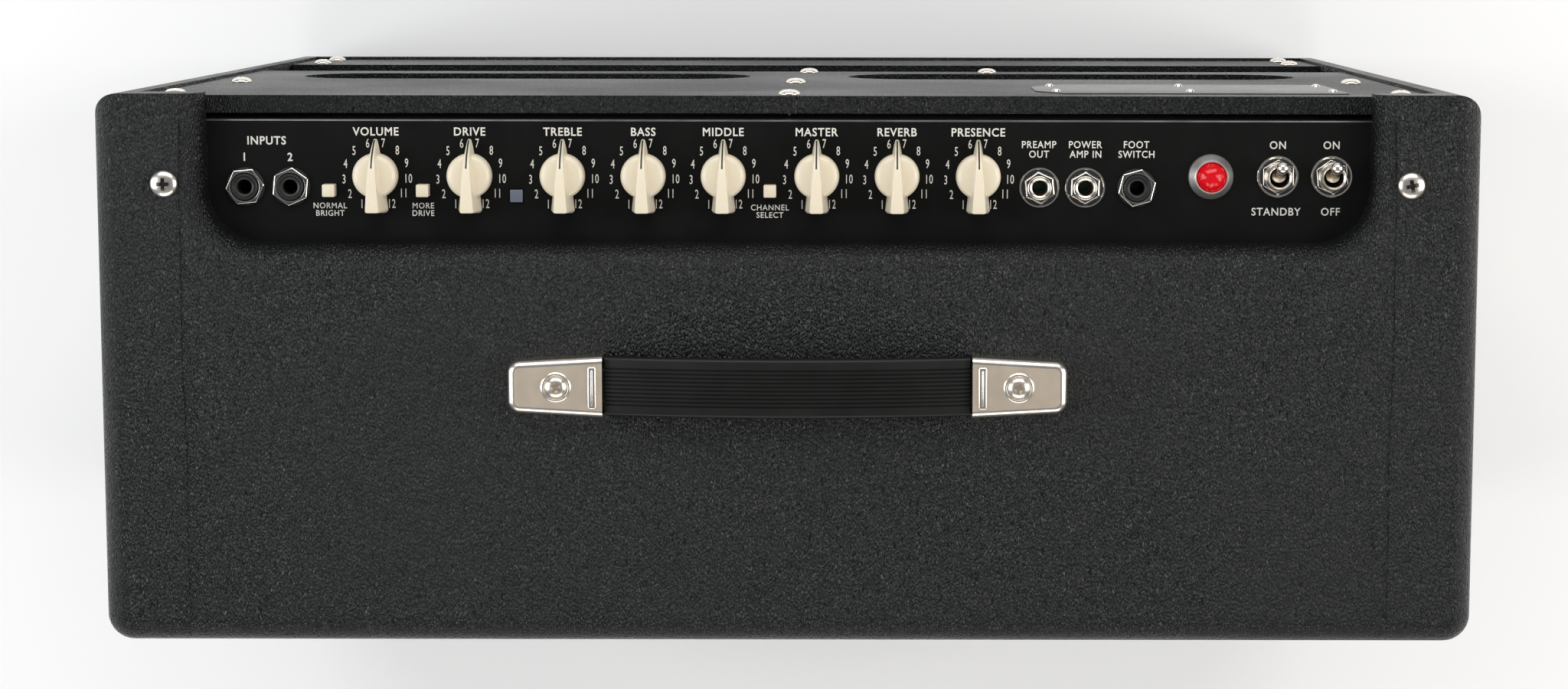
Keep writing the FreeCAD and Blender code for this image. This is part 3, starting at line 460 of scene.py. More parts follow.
class Polish(Enum):
    """How a plated part was polished: its roughness and how deep its fine lines are."""

    BRIGHT = (0.08, 0.002 * MM)
    SOFT = (0.26, 0.004 * MM)
    SATIN = (0.46, 0.01 * MM)
    SPUN = (0.4, 0.012 * MM)


@dataclass(frozen=True)
class Plated(Finish):
    """Nickel plate, bright, satin or spun in rings about a centre."""

    polish: Polish = Polish.BRIGHT
    colour: Colour = (0.80, 0.765, 0.70)
    centre: tuple[float, float, float] = (0, 0, 0)

    def shade(self, shader: Shader) -> None:
        """Warm metal with handling marks, and rings where it was spun.

        Args:
            shader: the shader to fill in.
        """
        rough, depth = self.polish.value
        marks = shader.noise(160, 3).outputs["Fac"]
        worn = tuple(c * 0.98 for c in self.colour)
        shader.constant(Metallic=1.0)
        shader.feed("Base Color", shader.blend(marks, self.colour, worn))
        shader.feed("Roughness", shader.spread(marks, 0.3, 0.75, rough * 0.97, rough * 1.05))
        if self.polish is Polish.SPUN:
            back = tuple(-c for c in self.centre)
            rings = shader.node("ShaderNodeTexWave", wave_type="RINGS", rings_direction="Z")
            rings.inputs["Scale"].default_value = 900
            rings.inputs["Distortion"].default_value = 1.5
            shader.link(shader.mapped((1, 1, 1), shift=back), rings.inputs["Vector"])
            shader.relief(rings.outputs["Fac"], depth, 0.7)
        else:
            fine = shader.noise(2600, 3, shader.mapped((1, 0.2, 1))).outputs["Fac"]
            shader.relief(fine, depth, 0.5)


@dataclass(frozen=True)
class SheetMetal(Finish):
    """Zinc-plated or painted sheet metal, with spangle and fine marks."""

    colour: Colour = (0.55, 0.55, 0.56)
    metal: float = 1.0
    rough: float = 0.38
    spangle: float = 160.0

    def shade(self, shader: Shader) -> None:
        """Cells of slightly different grey, and a rolled texture.

        Args:
            shader: the shader to fill in.
        """
        cell = shader.cells(self.spangle, "F1")
        rolled = shader.noise(900, 3, shader.mapped((0.1, 1, 1))).outputs["Fac"]
        darker = tuple(c * 0.78 for c in self.colour)
        shader.constant(Metallic=self.metal)
        shader.feed("Base Color", shader.blend(cell, self.colour, darker))
        shader.feed("Roughness", shader.spread(rolled, 0.3, 0.7, self.rough * 0.8, self.rough * 1.25))
        shader.relief(rolled, 0.012 * MM, 0.6)


@dataclass(frozen=True)
class Plywood(Finish):
    """Ply with its grain along X, bare or stained black."""

    pale: Colour = (0.52, 0.36, 0.2)
    dark: Colour = (0.33, 0.2, 0.1)

    def shade(self, shader: Shader) -> None:
        """Long streaks with fine pores.

        Args:
            shader: the shader to fill in.
        """
        along = shader.mapped((1.0, 12.0, 12.0))
        streak = shader.noise(24, 6, along).outputs["Fac"]
        pores = shader.noise(300, 3, along).outputs["Fac"]
        shader.feed("Base Color", shader.blend(streak, self.dark, self.pale))
        shader.feed("Roughness", shader.spread(pores, 0.3, 0.7, 0.6, 0.8))
        shader.relief(pores, 0.1 * MM, 0.5)


@dataclass(frozen=True)
class GrilleWeave(Finish):
    """Charcoal grille cloth with a silver thread, woven over and under."""

    thread: float = 1.1 * MM
    dark: Colour = (0.018, 0.018, 0.02)
    silver: Colour = (0.3, 0.3, 0.31)

    def shade(self, shader: Shader) -> None:
        """Two sets of rounded threads, the bright one every fourth.

        Args:
            shader: the shader to fill in.
        """
        warp = self.wave(shader, "X", 1 / self.thread)
        weft = self.wave(shader, "Z", 1 / self.thread)
        accent = self.wave(shader, "Z", 1 / (4 * self.thread))
        height = shader.sum(warp, weft, "MULTIPLY")
        shine = shader.spread(accent, 0.86, 0.95, 0, 1)
        shader.feed("Base Color", shader.blend(shader.sum(shine, height, "MULTIPLY"), self.dark, self.silver))
        shader.constant(Roughness=0.7, Sheen_Weight=0.3)
        shader.relief(height, 0.5 * MM, 0.8)

    def wave(self, shader: Shader, axis: str, rate: float) -> bpy.types.NodeSocket:
        """Draw threads across an axis.

        Args:
            shader: the shader to add to.
            axis: X or Z.
            rate: threads per metre.

        Returns:
            Their height from 0 to 1.
        """
        made = shader.node("ShaderNodeTexWave", wave_type="BANDS", bands_direction=axis)
        made.inputs["Scale"].default_value = rate * math.pi / 10
        made.inputs["Distortion"].default_value = 0.15
        shader.link(shader.place, made.inputs["Vector"])
        return made.outputs["Fac"]


@dataclass(frozen=True)
class Glassy(Finish):
    """Glass or clear plastic, tinted and perhaps lit from inside."""

    tint: Colour = (0.9, 0.92, 0.93)
    clear: float = 1.0
    rough: float = 0.03
    glow: float = 0.0

    def shade(self, shader: Shader) -> None:
        """Clear body with faint streaks in its polish.

        Args:
            shader: the shader to fill in.
        """
        marks = shader.noise(160, 3).outputs["Fac"]
        darker = tuple(c * 0.8 for c in self.tint)
        shader.feed("Base Color", shader.blend(marks, self.tint, darker))
        shader.feed("Roughness", shader.spread(marks, 0.3, 0.7, self.rough, self.rough * 2.5))
        shader.constant(Transmission_Weight=self.clear, IOR=1.49)
        shader.constant(Emission_Color=(*self.tint, 1), Emission_Strength=self.glow)


@dataclass(frozen=True)
class Laminated(Finish):
    """Lacquered transformer iron whose edges show its laminations."""

    colour: Colour = (0.03, 0.03, 0.033)

    def shade(self, shader: Shader) -> None:
        """Fine lines along Y, and a thin uneven lacquer.

        Args:
            shader: the shader to fill in.
        """
        lines = shader.node("ShaderNodeTexWave", wave_type="BANDS", bands_direction="Y")
        lines.inputs["Scale"].default_value = 320
        lines.inputs["Distortion"].default_value = 0.4
        shader.link(shader.place, lines.inputs["Vector"])
        lacquer = shader.noise(90, 4).outputs["Fac"]
        paler = tuple(c * 2.2 for c in self.colour)
        shader.feed("Base Color", shader.blend(lacquer, self.colour, paler))
        shader.feed("Roughness", shader.spread(lacquer, 0.3, 0.7, 0.3, 0.55))
        shader.constant(Metallic=0.6)
        shader.relief(lines.outputs["Fac"], 0.12 * MM, 0.7)


@dataclass(frozen=True)
class Pressed(Finish):
    """Pressed paper or ferrite, dull and full of small fibres or grains."""

    colour: Colour = (0.02, 0.019, 0.018)
    fibre: float = 420.0

    def shade(self, shader: Shader) -> None:
        """Fibres in colour and relief.

        Args:
            shader: the shader to fill in.
        """
        fibres = shader.noise(self.fibre, 6).outputs["Fac"]
        paler = tuple(c * 2.4 for c in self.colour)
        shader.feed("Base Color", shader.blend(fibres, self.colour, paler))
        shader.feed("Roughness", shader.spread(fibres, 0.3, 0.7, 0.7, 0.92))
        shader.relief(fibres, 0.15 * MM, 0.7)


@dataclass(frozen=True)
class Laminate(Finish):
    """Circuit board with tracks under its mask."""

    mask: Colour = (0.012, 0.09, 0.035)
    track: Colour = (0.03, 0.2, 0.07)

    def shade(self, shader: Shader) -> None:
        """Blocks of tracks between narrow gaps.

        Args:
            shader: the shader to fill in.
        """
        brick = shader.node("ShaderNodeTexBrick")
        brick.inputs["Scale"].default_value = 70
        brick.inputs["Mortar Size"].default_value = 0.035
        brick.inputs["Color1"].default_value = (*self.track, 1)
        brick.inputs["Color2"].default_value = (*self.mask, 1)
        brick.inputs["Mortar"].default_value = (0.006, 0.045, 0.02, 1)
        shader.link(shader.place, brick.inputs["Vector"])
        shader.feed("Base Color", brick.outputs["Color"])
        shader.constant(Roughness=0.3)
        shader.relief(brick.outputs["Fac"], 0.04 * MM, 0.6)


COVER = Leathercloth("covering", "leathercloth", bare_inside=True)
PANEL_COVER = Leathercloth("panel_covering", "leathercloth", gloss=0.24)
PANEL_PAINT = Moulded("panel_paint", "panel", (0.0032, 0.0033, 0.0031), 2.0, 0.5, 2300, 0.05 * MM, gloss=0.13)
INK = Moulded("legend_ink", "panel", (0.72, 0.70, 0.64), 0.9, 0.5, 900)
CREAM = Moulded("cream_plastic", "cream", (0.83, 0.745, 0.58), 0.95, 0.3, 700, 0.01 * MM, 0.12, 0.15)
BLACK_LINE = Moulded("index_line", "cream", (0.012, 0.011, 0.01), 1.5, 0.45)
BLACK = Moulded("black_plastic", "black_plastic", (0.012, 0.012, 0.013), 1.6, 0.33, 900, 0.02 * MM)
RUBBER = Moulded("foot_rubber", "rubber", (0.014, 0.014, 0.014), 1.8, 0.72, 600, 0.08 * MM)
STRAP = Moulded("strap_vinyl", "strap", (0.008, 0.0078, 0.0074), 1.6, 0.4, 900, 0.03 * MM, gloss=0.3)
LAMP_GREY = Moulded("lamp_window", "grey_plastic", (0.17, 0.20, 0.26), 0.8, 0.22, 400, 0.01 * MM, 0.3, 0.4)
BRIGHT = Plated("bright_nickel", "nickel", Polish.BRIGHT, (0.9, 0.85, 0.77))
SOFT = Plated("soft_nickel", "nickel", Polish.SOFT, (0.95, 0.885, 0.79))
# Satin polish on the cap tops is real roughness; its darker tan colour, next to SOFT, is a painted
# reflection.
SATIN = Plated("satin_nickel_painted_reflection", "nickel", Polish.SATIN, (0.86, 0.735, 0.59))
# Nut tops: the nuts' own nickel, coloured much darker as a painted reflection of dark surroundings on the
# flat polished top.
NUT_TOP_PAINTED_REFLECTION = SheetMetal("nut_top_painted_reflection", "nickel", (0.2, 0.195, 0.185), 1.0, 0.3, 900)
EDGE_METAL = SheetMetal("bare_edge", "steel", (0.3, 0.31, 0.31), 1.0, 0.42)
STEEL = SheetMetal("zinc_steel", "steel")
PLATE = SheetMetal("plate_metal", "steel", (0.2, 0.195, 0.18), 1.0, 0.34, 40)
BASKET = SheetMetal("basket_paint", "basket", (0.02, 0.02, 0.022), 0.0, 0.3, 300)
ALUMINIUM = SheetMetal("drawn_aluminium", "aluminium", (0.72, 0.72, 0.73), 1.0, 0.3, 600)
BLACK_PLY = Plywood("black_ply", "plywood", (0.03, 0.028, 0.026), (0.012, 0.011, 0.01))
CLOTH = GrilleWeave("grille_weave", "grille")
FERRITE = Pressed("ferrite", "ferrite", (0.035, 0.035, 0.038), 900)
PAPER = Pressed("cone_paper", "paper")
CORE = Laminated("laminated_core", "core")
GLASS = Glassy("tube_glass", "glass")
JEWEL = Glassy("jewel_red", "jewel", (0.72, 0.003, 0.01), 0.3, 0.05, 0.2)
BOARD = Laminate("circuit_laminate", "board")
CAN = Moulded("capacitor_sleeve", "capacitor", (0.02, 0.035, 0.11), 0.8, 0.28, 500)
CERAMIC = Moulded("glazed_ceramic", "ceramic", (0.78, 0.75, 0.68), 0.93, 0.2, 300)


# ---------------------------------------------------------------------------------------
# Mesh building
# ---------------------------------------------------------------------------------------
def lathe(profile: Sequence[Point], steps: int = 48) -> bmesh.types.BMesh:
    """Spin a profile about Z.

    Args:
        profile: points of radius and height, in metres, closed at both ends on the axis or
            on themselves.
        steps: how many parts the turn has.

    Returns:
        The closed shape.
    """
    mesh = bmesh.new()
    points = [mesh.verts.new((r, 0, z)) for r, z in profile]
    edges = [mesh.edges.new(pair) for pair in zip(points, points[1:])]
    if profile[0][0] > 0 and profile[-1][0] > 0:
        edges.append(mesh.edges.new((points[-1], points[0])))
    bmesh.ops.spin(
        mesh,
        geom=points + edges,
        cent=(0, 0, 0),
        axis=(0, 0, 1),
        angle=2 * math.pi,
        steps=steps,
        use_merge=True,
    )
    bmesh.ops.remove_doubles(mesh, verts=mesh.verts, dist=1e-6)
    bmesh.ops.recalc_face_normals(mesh, faces=mesh.faces)
    return mesh


def prism(outline: Sequence[Point], low: float, high: float) -> bmesh.types.BMesh:
    """Raise a flat outline between two heights.

    Args:
        outline: corners in X and Y.
        low: the height of its floor.
        high: the height of its top.

    Returns:
        The closed shape.
    """
    mesh = bmesh.new()
    base = mesh.faces.new([mesh.verts.new((x, y, low)) for x, y in outline])
    raised = bmesh.ops.extrude_face_region(mesh, geom=[base])["geom"]
    top = [v for v in raised if isinstance(v, bmesh.types.BMVert)]
    bmesh.ops.translate(mesh, verts=top, vec=(0, 0, high - low))
    bmesh.ops.recalc_face_normals(mesh, faces=mesh.faces)
    return mesh


def block(low: Sequence[float], high: Sequence[float]) -> bmesh.types.BMesh:
    """Make a box between two corners.

    Args:
        low: its lowest corner.
        high: its highest corner.

    Returns:
        The box.
    """
    mesh = bmesh.new()
    bmesh.ops.create_cube(mesh, size=1)
    size = [b - a for a, b in zip(low, high)]
    middle = [(a + b) / 2 for a, b in zip(low, high)]
    bmesh.ops.scale(mesh, vec=size, verts=mesh.verts)
    bmesh.ops.translate(mesh, vec=middle, verts=mesh.verts)
    return mesh


def soften(
    mesh: bmesh.types.BMesh,
    width: float,
    segments: int = 2,
    chosen: Optional[Callable[[bmesh.types.BMEdge], bool]] = None,
) -> bmesh.types.BMesh:
    """Round the sharp edges.

    Args:
        mesh: the shape to change.
        width: how wide each rounding is.
        segments: how many faces it has.
        chosen: says which edges are rounded, or all that are sharper than 30 degrees.

    Returns:
        The same shape.
    """
    mesh.normal_update()

    def sharp(edge: bmesh.types.BMEdge) -> bool:
        """Say whether an edge is sharp.

        Args:
            edge: the edge.

        Returns:
            True if it is.
        """
        return len(edge.link_faces) == 2 and edge.calc_face_angle(0) > math.radians(30)

    edges = [e for e in mesh.edges if (chosen or sharp)(e)]
    bmesh.ops.bevel(
        mesh,
        geom=edges,
        offset=width,
        segments=segments,
        profile=0.5,
        affect="EDGES",
        material=-1,
        clamp_overlap=True,
    )
    return mesh


def slice_at(mesh: bmesh.types.BMesh, axis: int, places: Sequence[float]) -> bmesh.types.BMesh:
    """Cut loops across a shape.

    Args:
        mesh: the shape to change.
        axis: 0, 1 or 2 for X, Y or Z.
        places: where each loop goes along that axis.

    Returns:
        The same shape.
    """
    normal = Vector((axis == 0, axis == 1, axis == 2))
    for place in places:
        geom = mesh.verts[:] + mesh.edges[:] + mesh.faces[:]
        bmesh.ops.bisect_plane(mesh, geom=geom, dist=1e-7, plane_co=normal * place, plane_no=normal)
    return mesh


def moved(mesh: bmesh.types.BMesh, matrix: Matrix) -> bmesh.types.BMesh:
    """Move a shape and return it.

    Args:
        mesh: the shape.
        matrix: where it goes.

    Returns:
        The same shape.
    """
    bmesh.ops.transform(mesh, matrix=matrix, verts=mesh.verts)
    return mesh


def at(x: float, y: float, z: float) -> Matrix:
    """Give the matrix of a plain shift.

    Args:
        x: the shift or place along X.
        y: the shift along Y.
        z: the shift along Z.

    Returns:
        The matrix.
    """
    return Matrix.Translation((x, y, z))


def joined(parts: Sequence[bmesh.types.BMesh]) -> bmesh.types.BMesh:
    """Put several shapes into one mesh.

    Args:
        parts: the shapes, which are used up.

    Returns:
        The mesh that holds them all.
    """
    whole = bmesh.new()
    for part in parts:
        carrier = bpy.data.meshes.new("carrier")
        part.to_mesh(carrier)
        part.free()
        whole.from_mesh(carrier)
        bpy.data.meshes.remove(carrier)
    return whole


def coloured(mesh: bmesh.types.BMesh, index: int) -> bmesh.types.BMesh:
    """Give all of a shape's faces one of the piece's finishes.

    Args:
        mesh: the shape.
        index: the finish, counted from 0.

    Returns:
        The same shape.
    """
    for face in mesh.faces:
        face.material_index = index
    return mesh


def carved(mesh: bmesh.types.BMesh, tools: Sequence[bmesh.types.BMesh]) -> bmesh.types.BMesh:
    """Take tools away from a shape.

    Args:
        mesh: the shape, which is used up.
        tools: the shapes to take away, which are used up.

    Returns:
        What is left.
    """
    scene = bpy.context.scene
    whole = bpy.data.objects.new("stock", bpy.data.meshes.new("stock"))
    mesh.to_mesh(whole.data)
    mesh.free()
    scene.collection.objects.link(whole)
    cutters = []
    for tool in tools:
        cutter = bpy.data.objects.new("cutter", bpy.data.meshes.new("cutter"))
        tool.to_mesh(cutter.data)
        tool.free()
        scene.collection.objects.link(cutter)
        step = whole.modifiers.new("cut", "BOOLEAN")
        step.operation = "DIFFERENCE"
        step.solver = "EXACT"
        step.object = cutter
        cutters.append(cutter)
    bpy.context.view_layer.update()
    result = bmesh.new()
    result.from_object(whole, bpy.context.evaluated_depsgraph_get())
    for used in [whole, *cutters]:
        data = used.data
        bpy.data.objects.remove(used)
        bpy.data.meshes.remove(data)
    return result


def piece(
    mesh: bmesh.types.BMesh,
    name: str,
    finishes: Sequence[Finish],
    body: str = CABINET,
    replaces: Sequence[str] = (),
    sharp: float = 32,
) -> bpy.types.Object:
    """Turn a shape into a finished piece that rides on a body.

    Args:
        mesh: the shape, which is used up.
        name: the piece's name.
        finishes: its finishes, in the order of its faces' indices.
        body: the CAD body that it rides on.
        replaces: the CAD nodes that it stands for.
        sharp: the angle in degrees past which an edge stays hard.

    Returns:
        The piece's object.
    """
    data = bpy.data.meshes.new(name)
    mesh.to_mesh(data)
    mesh.free()
    data.shade_smooth()
    data.set_sharp_from_angle(angle=math.radians(sharp))
    made = bpy.data.objects.new(name, data)
    bpy.context.scene.collection.objects.link(made)
    for finish in finishes:
        data.materials.append(finish.material())
    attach(made, body)
    if replaces:
        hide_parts(*replaces)
    LOG.info("%s: %d faces on %s", name, len(data.polygons), body)
    return made


def middle(node: str) -> Vector:
    """Give the middle of a CAD node's box.

    Args:
        node: its name.

    Returns:
        Its middle.
    """
    low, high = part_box(node)
    return (low + high) / 2


def phillips(radius: float, height: float, shank: float, length: float) -> bmesh.types.BMesh:
    """Make a domed screw with a cross recess, its head standing on z = 0.

    Args:
        radius: the head's radius.
        height: the dome's height.
        shank: the shank's radius.
        length: how far the shank goes down.

    Returns:
        The screw.
    """
    dome = [
        (radius * math.sin(math.radians(a)) ** 0.92, height * math.cos(math.radians(a)) ** 0.86)
        for a in (86, 76, 64, 52, 40, 28, 18, 9)
    ]
    tip = [(0, -length), (shank * 0.3, -length), (shank, -length + 2 * shank)]
    body = lathe([*tip, (shank, 0.05 * MM), (radius * 0.985, 0.05 * MM), *dome, (0, height)], 40)
    arm, slot, deep = radius * 0.55, radius * 0.15, height * 1.25
    tools = []
    for turn in (0, math.pi / 2):
        tool = block((-arm, -slot, height - deep), (arm, slot, height + 1 * MM))
        for vert in tool.verts:
            if vert.co.z < height:
                vert.co.x *= 0.45
                vert.co.y *= 0.7
        tools.append(moved(tool, Matrix.Rotation(turn, 4, "Z")))
    return carved(body, tools)


def hex_nut(flats: float, hole: float, height: float, turn: float = 0) -> bmesh.types.BMesh:
    """Make a hexagon nut with bevelled edges; its top takes a second finish, a darker metal that is a painted
    reflection.

    Args:
        flats: the width across its flats.
        hole: the radius of its hole.
        height: its height.
        turn: how far it is turned, in radians.

    Returns:
        The nut, standing on z = 0, with its flat top in material 2.
    """
    corner = flats / 2 / math.cos(math.pi / 6)
    mesh = bmesh.new()
    inner = bmesh.ops.create_circle(mesh, segments=72, radius=hole)["verts"]
    outer = bmesh.ops.create_circle(mesh, segments=72, radius=corner)["verts"]
    for vert in outer:
        part = (math.atan2(vert.co.y, vert.co.x) % (math.pi / 3)) - math.pi / 6
        vert.co *= math.cos(math.pi / 6) / math.cos(part)
    rings = [e for e in mesh.edges if e.verts[0] in inner or e.verts[0] in outer]
    bmesh.ops.bridge_loops(mesh, edges=rings)
    raised = bmesh.ops.extrude_face_region(mesh, geom=mesh.faces[:])["geom"]
    top = [v for v in raised if isinstance(v, bmesh.types.BMVert)]
    bmesh.ops.translate(mesh, verts=top, vec=(0, 0, height))
    bmesh.ops.recalc_face_normals(mesh, faces=mesh.faces)

    def upper_rim(edge: bmesh.types.BMEdge) -> bool:
        """Say whether an edge runs round the top, outside or at the hole.

        Args:
            edge: the edge.

        Returns:
            True if it does.
        """
        same = all(v.co.z > height * 0.99 for v in edge.verts)
        return same and len(edge.link_faces) == 2 and edge.calc_face_angle() > 1

    soften(mesh, 0.75 * MM, 4, upper_rim)
    # The flat top goes to material 2, the darker metal that paints in the top's dark reflection.
    for face in mesh.faces:
        if face.normal.z > 0.999 and face.calc_center_median().z > height - 1e-6:
            face.material_index = 2
    return moved(mesh, Matrix.Rotation(turn, 4, "Z"))


def washer(inner: float, outer: float, thick: float) -> bmesh.types.BMesh:
    """Make a flat washer with softly turned edges, standing on z = 0.

    Args:
        inner: its inner radius.
        outer: its outer radius.
        thick: its thickness.

    Returns:
        The washer.
    """
    edge = thick * 0.35
    return lathe(
        [
            (inner, 0),
            (outer, 0),
            (outer, thick - edge),
            (outer - edge, thick),
            (inner + edge, thick),
            (inner, thick - edge),
        ],
        64,
    )


# ---------------------------------------------------------------------------------------
# Cabinet
# ---------------------------------------------------------------------------------------
@dataclass
class Frame:
    """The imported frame, and the finishes given to the CAD nodes that stay."""

    loaded: dict

    def dress(self, node: str, finish: Finish) -> None:
        """Give a CAD node its finish.

        Args:
            node: the node's name.
            finish: what it gets.
        """
        shown = self.loaded["nodes"][node]
        if not shown.material_slots:
            shown.data.materials.append(finish.material())
        for slot in shown.material_slots:
            slot.material = finish.material()
        LOG.info("%s: dressed in %s", node, finish.label)


@dataclass
class Cabinet:
    """Covered box with its overlap seams and feet."""

    frame: Frame
    seam_x: float = 263 * MM
    seam_out: float = 285 * MM
    seam_thick: float = 0.24 * MM
    foot_radius: float = 17 * MM

    def build(self) -> None:
        """Dress the boards and add what is made here."""
        for node in ("top_board", "bottom_board", "side_board_left", "side_board_right"):
            self.frame.dress(node, COVER)
        for side in (-1, 1):
            self.overlap(side)
        self.feet()

    def overlap(self, side: int) -> None:
        """Lay the covering's overlap along the top, thinning to nothing outwards.

        Args:
            side: -1 for the left and 1 for the right.
        """
        low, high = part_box("top_board")
        front, rear = low.y + 12 * MM, high.y - 11 * MM
        strip = block(
            (self.seam_x, front, high.z - 0.2 * MM), (self.seam_out, rear, high.z + self.seam_thick)
        )
        slice_at(strip, 1, [front + (rear - front) * k / 24 for k in range(1, 24)])
        for vert in strip.verts:
            if vert.co.z > high.z and vert.co.x > self.seam_x + 1 * MM:
                vert.co.z = high.z - 0.1 * MM
            elif vert.co.x < self.seam_x + 1 * MM:
                vert.co.x += 0.5 * MM * math.sin(vert.co.y * 31) + 0.3 * MM * math.sin(vert.co.y * 83)
        if side < 0:
            bmesh.ops.scale(strip, vec=(-1, 1, 1), verts=strip.verts)
            bmesh.ops.reverse_faces(strip, faces=strip.faces)
        piece(strip, f"cover_overlap_{'left' if side < 0 else 'right'}", [COVER])

    def feet(self) -> None:
        """Make four turned rubber feet with their screws."""
        low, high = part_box("rubber_feet")
        tall = high.z - low.z
        across, along = high.x - self.foot_radius, high.y - self.foot_radius
        parts = []
        for x in (-across, across):
            for y in (-along, along):
                foot = lathe(
                    [
                        (4 * MM, tall),
                        (self.foot_radius, tall),
                        (self.foot_radius, tall - 1 * MM),
                        (14.6 * MM, 1.2 * MM),
                        (13.2 * MM, 0),
                        (9 * MM, 0),
                        (8 * MM, 2 * MM),
                        (4 * MM, 2.2 * MM),
                    ]
                )
                head = moved(phillips(4.2 * MM, 1.6 * MM, 1.8 * MM, 8 * MM), Matrix.Rotation(math.pi, 4, "X"))
                head = coloured(moved(head, at(0, 0, 3.8 * MM)), 1)
                parts.append(moved(joined([foot, head]), at(x, y, 0)))
        piece(joined(parts), "rubber_feet_made", [RUBBER, BRIGHT], replaces=["rubber_feet"])


@dataclass
class RearPanels:
    """Covered back panels with their screws, cleats and the blank riveted plate."""

    frame: Frame
    upper: tuple[Point, ...] = (
        (-270, 447),
        (0, 447),
        (269, 447),
        (-265, 329),
        (0, 329),
        (265.5, 329),
        (4, 208),
        (96, 208),
    )
    lower: tuple[Point, ...] = ((-268, 94), (268, 94), (-268, 48), (268, 48))

    def build(self) -> None:
        """Dress the panels and add the screws and the plate."""
        self.frame.dress("back_panel_upper", PANEL_COVER)
        self.frame.dress("back_panel_lower", PANEL_COVER)
        self.frame.dress("panel_cleats", BLACK_PLY)
        self.screws()
        self.plate()

    def screws(self) -> None:
        """Make the domed screws, each turned a little differently."""
        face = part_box("back_panel_upper")[1].y
        parts = []
        for number, (x, z) in enumerate(self.upper + self.lower):
            screw = phillips(4.8 * MM, 2.5 * MM, 1.9 * MM, 9 * MM)
            moved(screw, Matrix.Rotation(0.4 + 1.1 * number, 4, "Z"))
            moved(screw, Matrix.Rotation(-math.pi / 2, 4, "X"))
            parts.append(moved(screw, at(x * MM, face, z * MM)))
        piece(joined(parts), "panel_screws_made", [SOFT], replaces=["back_panel_screws"])

    def plate(self) -> None:
        """Make the thin plate, pointed at one end, with rivets in pairs."""
        low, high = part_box("rating_plate")
        back = low.y
        mid = (low.z + high.z) / 2
        point = 12 * MM
        outline = [
            (low.x, mid - 20 * MM),
            (low.x + point, low.z),
            (high.x, low.z),
            (high.x, high.z),
            (low.x + point, high.z),
            (low.x, mid + 20 * MM),
        ]
        sheet = prism(outline, 0, 0.45 * MM)
        soften(sheet, 0.15 * MM, 2)
        parts = [sheet]
        for x in (low.x + 9 * MM, (low.x + high.x) / 2, high.x - 5 * MM):
            for z in (low.z + 16 * MM, high.z - 16 * MM):
                rivet = lathe(
                    [(0, 0), (2 * MM, 0), (1.7 * MM, 0.7 * MM), (0.9 * MM, 1.1 * MM), (0, 1.2 * MM)], 20
                )
                parts.append(coloured(moved(rivet, at(x, z, 0.4 * MM)), 1))
        whole = joined(parts)
        moved(whole, Matrix.Rotation(math.pi / 2, 4, "X"))
        bmesh.ops.scale(whole, vec=(1, -1, 1), verts=whole.verts)
        bmesh.ops.reverse_faces(whole, faces=whole.faces)
        moved(whole, at(0, back, 0))
        piece(whole, "rating_plate_made", [PLATE, BRIGHT], replaces=["rating_plate"])


# ---------------------------------------------------------------------------------------
# Control panel
# ---------------------------------------------------------------------------------------
class Face(Enum):
    """The faces of lettering on the panel: cap height, stretch across and weight."""

    TITLE = (3.7 * MM, 0.94, 0.018)
    SMALL = (2.6 * MM, 0.94, 0.008)
    MARK = (3.2 * MM, 0.90, 0.01)
    STATE = (3.5 * MM, 0.94, 0.012)
    DIGIT = (4.1 * MM, 0.62, 0.004)


@dataclass
class Legends:
    """The plain printed words and dial numbers of the panel."""

    level: float
    parts: list = field(default_factory=list)

    def word(self, text: str, face: Face, x: float, y: float) -> None:
        """Print one word centred on a place.

        Args:
            text: what it says.
            face: how it is lettered.
            x: its middle along X.
            y: its middle along Y.
        """
        cap, stretch, weight = face.value
        curve = bpy.data.curves.new("word", "FONT")
        curve.body = text
        curve.size = 1
        curve.offset = weight
        curve.space_character = 1.12
        curve.extrude = 0.005
        curve.resolution_u = 3
        carrier = bpy.data.objects.new("word", curve)
        bpy.context.scene.collection.objects.link(carrier)
        bpy.context.view_layer.update()
        shown = carrier.evaluated_get(bpy.context.evaluated_depsgraph_get())
        flat = bpy.data.meshes.new_from_object(shown)
        mesh = bmesh.new()
        mesh.from_mesh(flat)
        bpy.data.objects.remove(carrier)
        bpy.data.curves.remove(curve)
        bpy.data.meshes.remove(flat)
        bmesh.ops.remove_doubles(mesh, verts=mesh.verts, dist=1e-5)
        low = [min(v.co[i] for v in mesh.verts) for i in (0, 1)]
        high = [max(v.co[i] for v in mesh.verts) for i in (0, 1)]
        grow = cap / 0.73
        centre = at(-(low[0] + high[0]) / 2, -(low[1] + high[1]) / 2, 0)
        moved(mesh, centre)
        bmesh.ops.scale(mesh, vec=(grow * stretch, grow, 0.012), verts=mesh.verts)
        self.parts.append(moved(mesh, at(x, y, self.level + 0.03 * MM)))

    def dial(self, x: float, y: float) -> None:
        """Print the numbers 1 to 12 round a knob.

        Args:
            x: the knob's middle along X.
            y: the knob's middle along Y.
        """
        radius = 14.3 * MM
        for number in range(1, 13):
            angle = math.radians(-153 + 27.7 * (number - 1))
            self.word(str(number), Face.DIGIT, x + radius * math.sin(angle), y + radius * math.cos(angle))

    def finish(self) -> None:
        """Make all the printing one piece."""
        piece(joined(self.parts), "panel_legends", [INK])


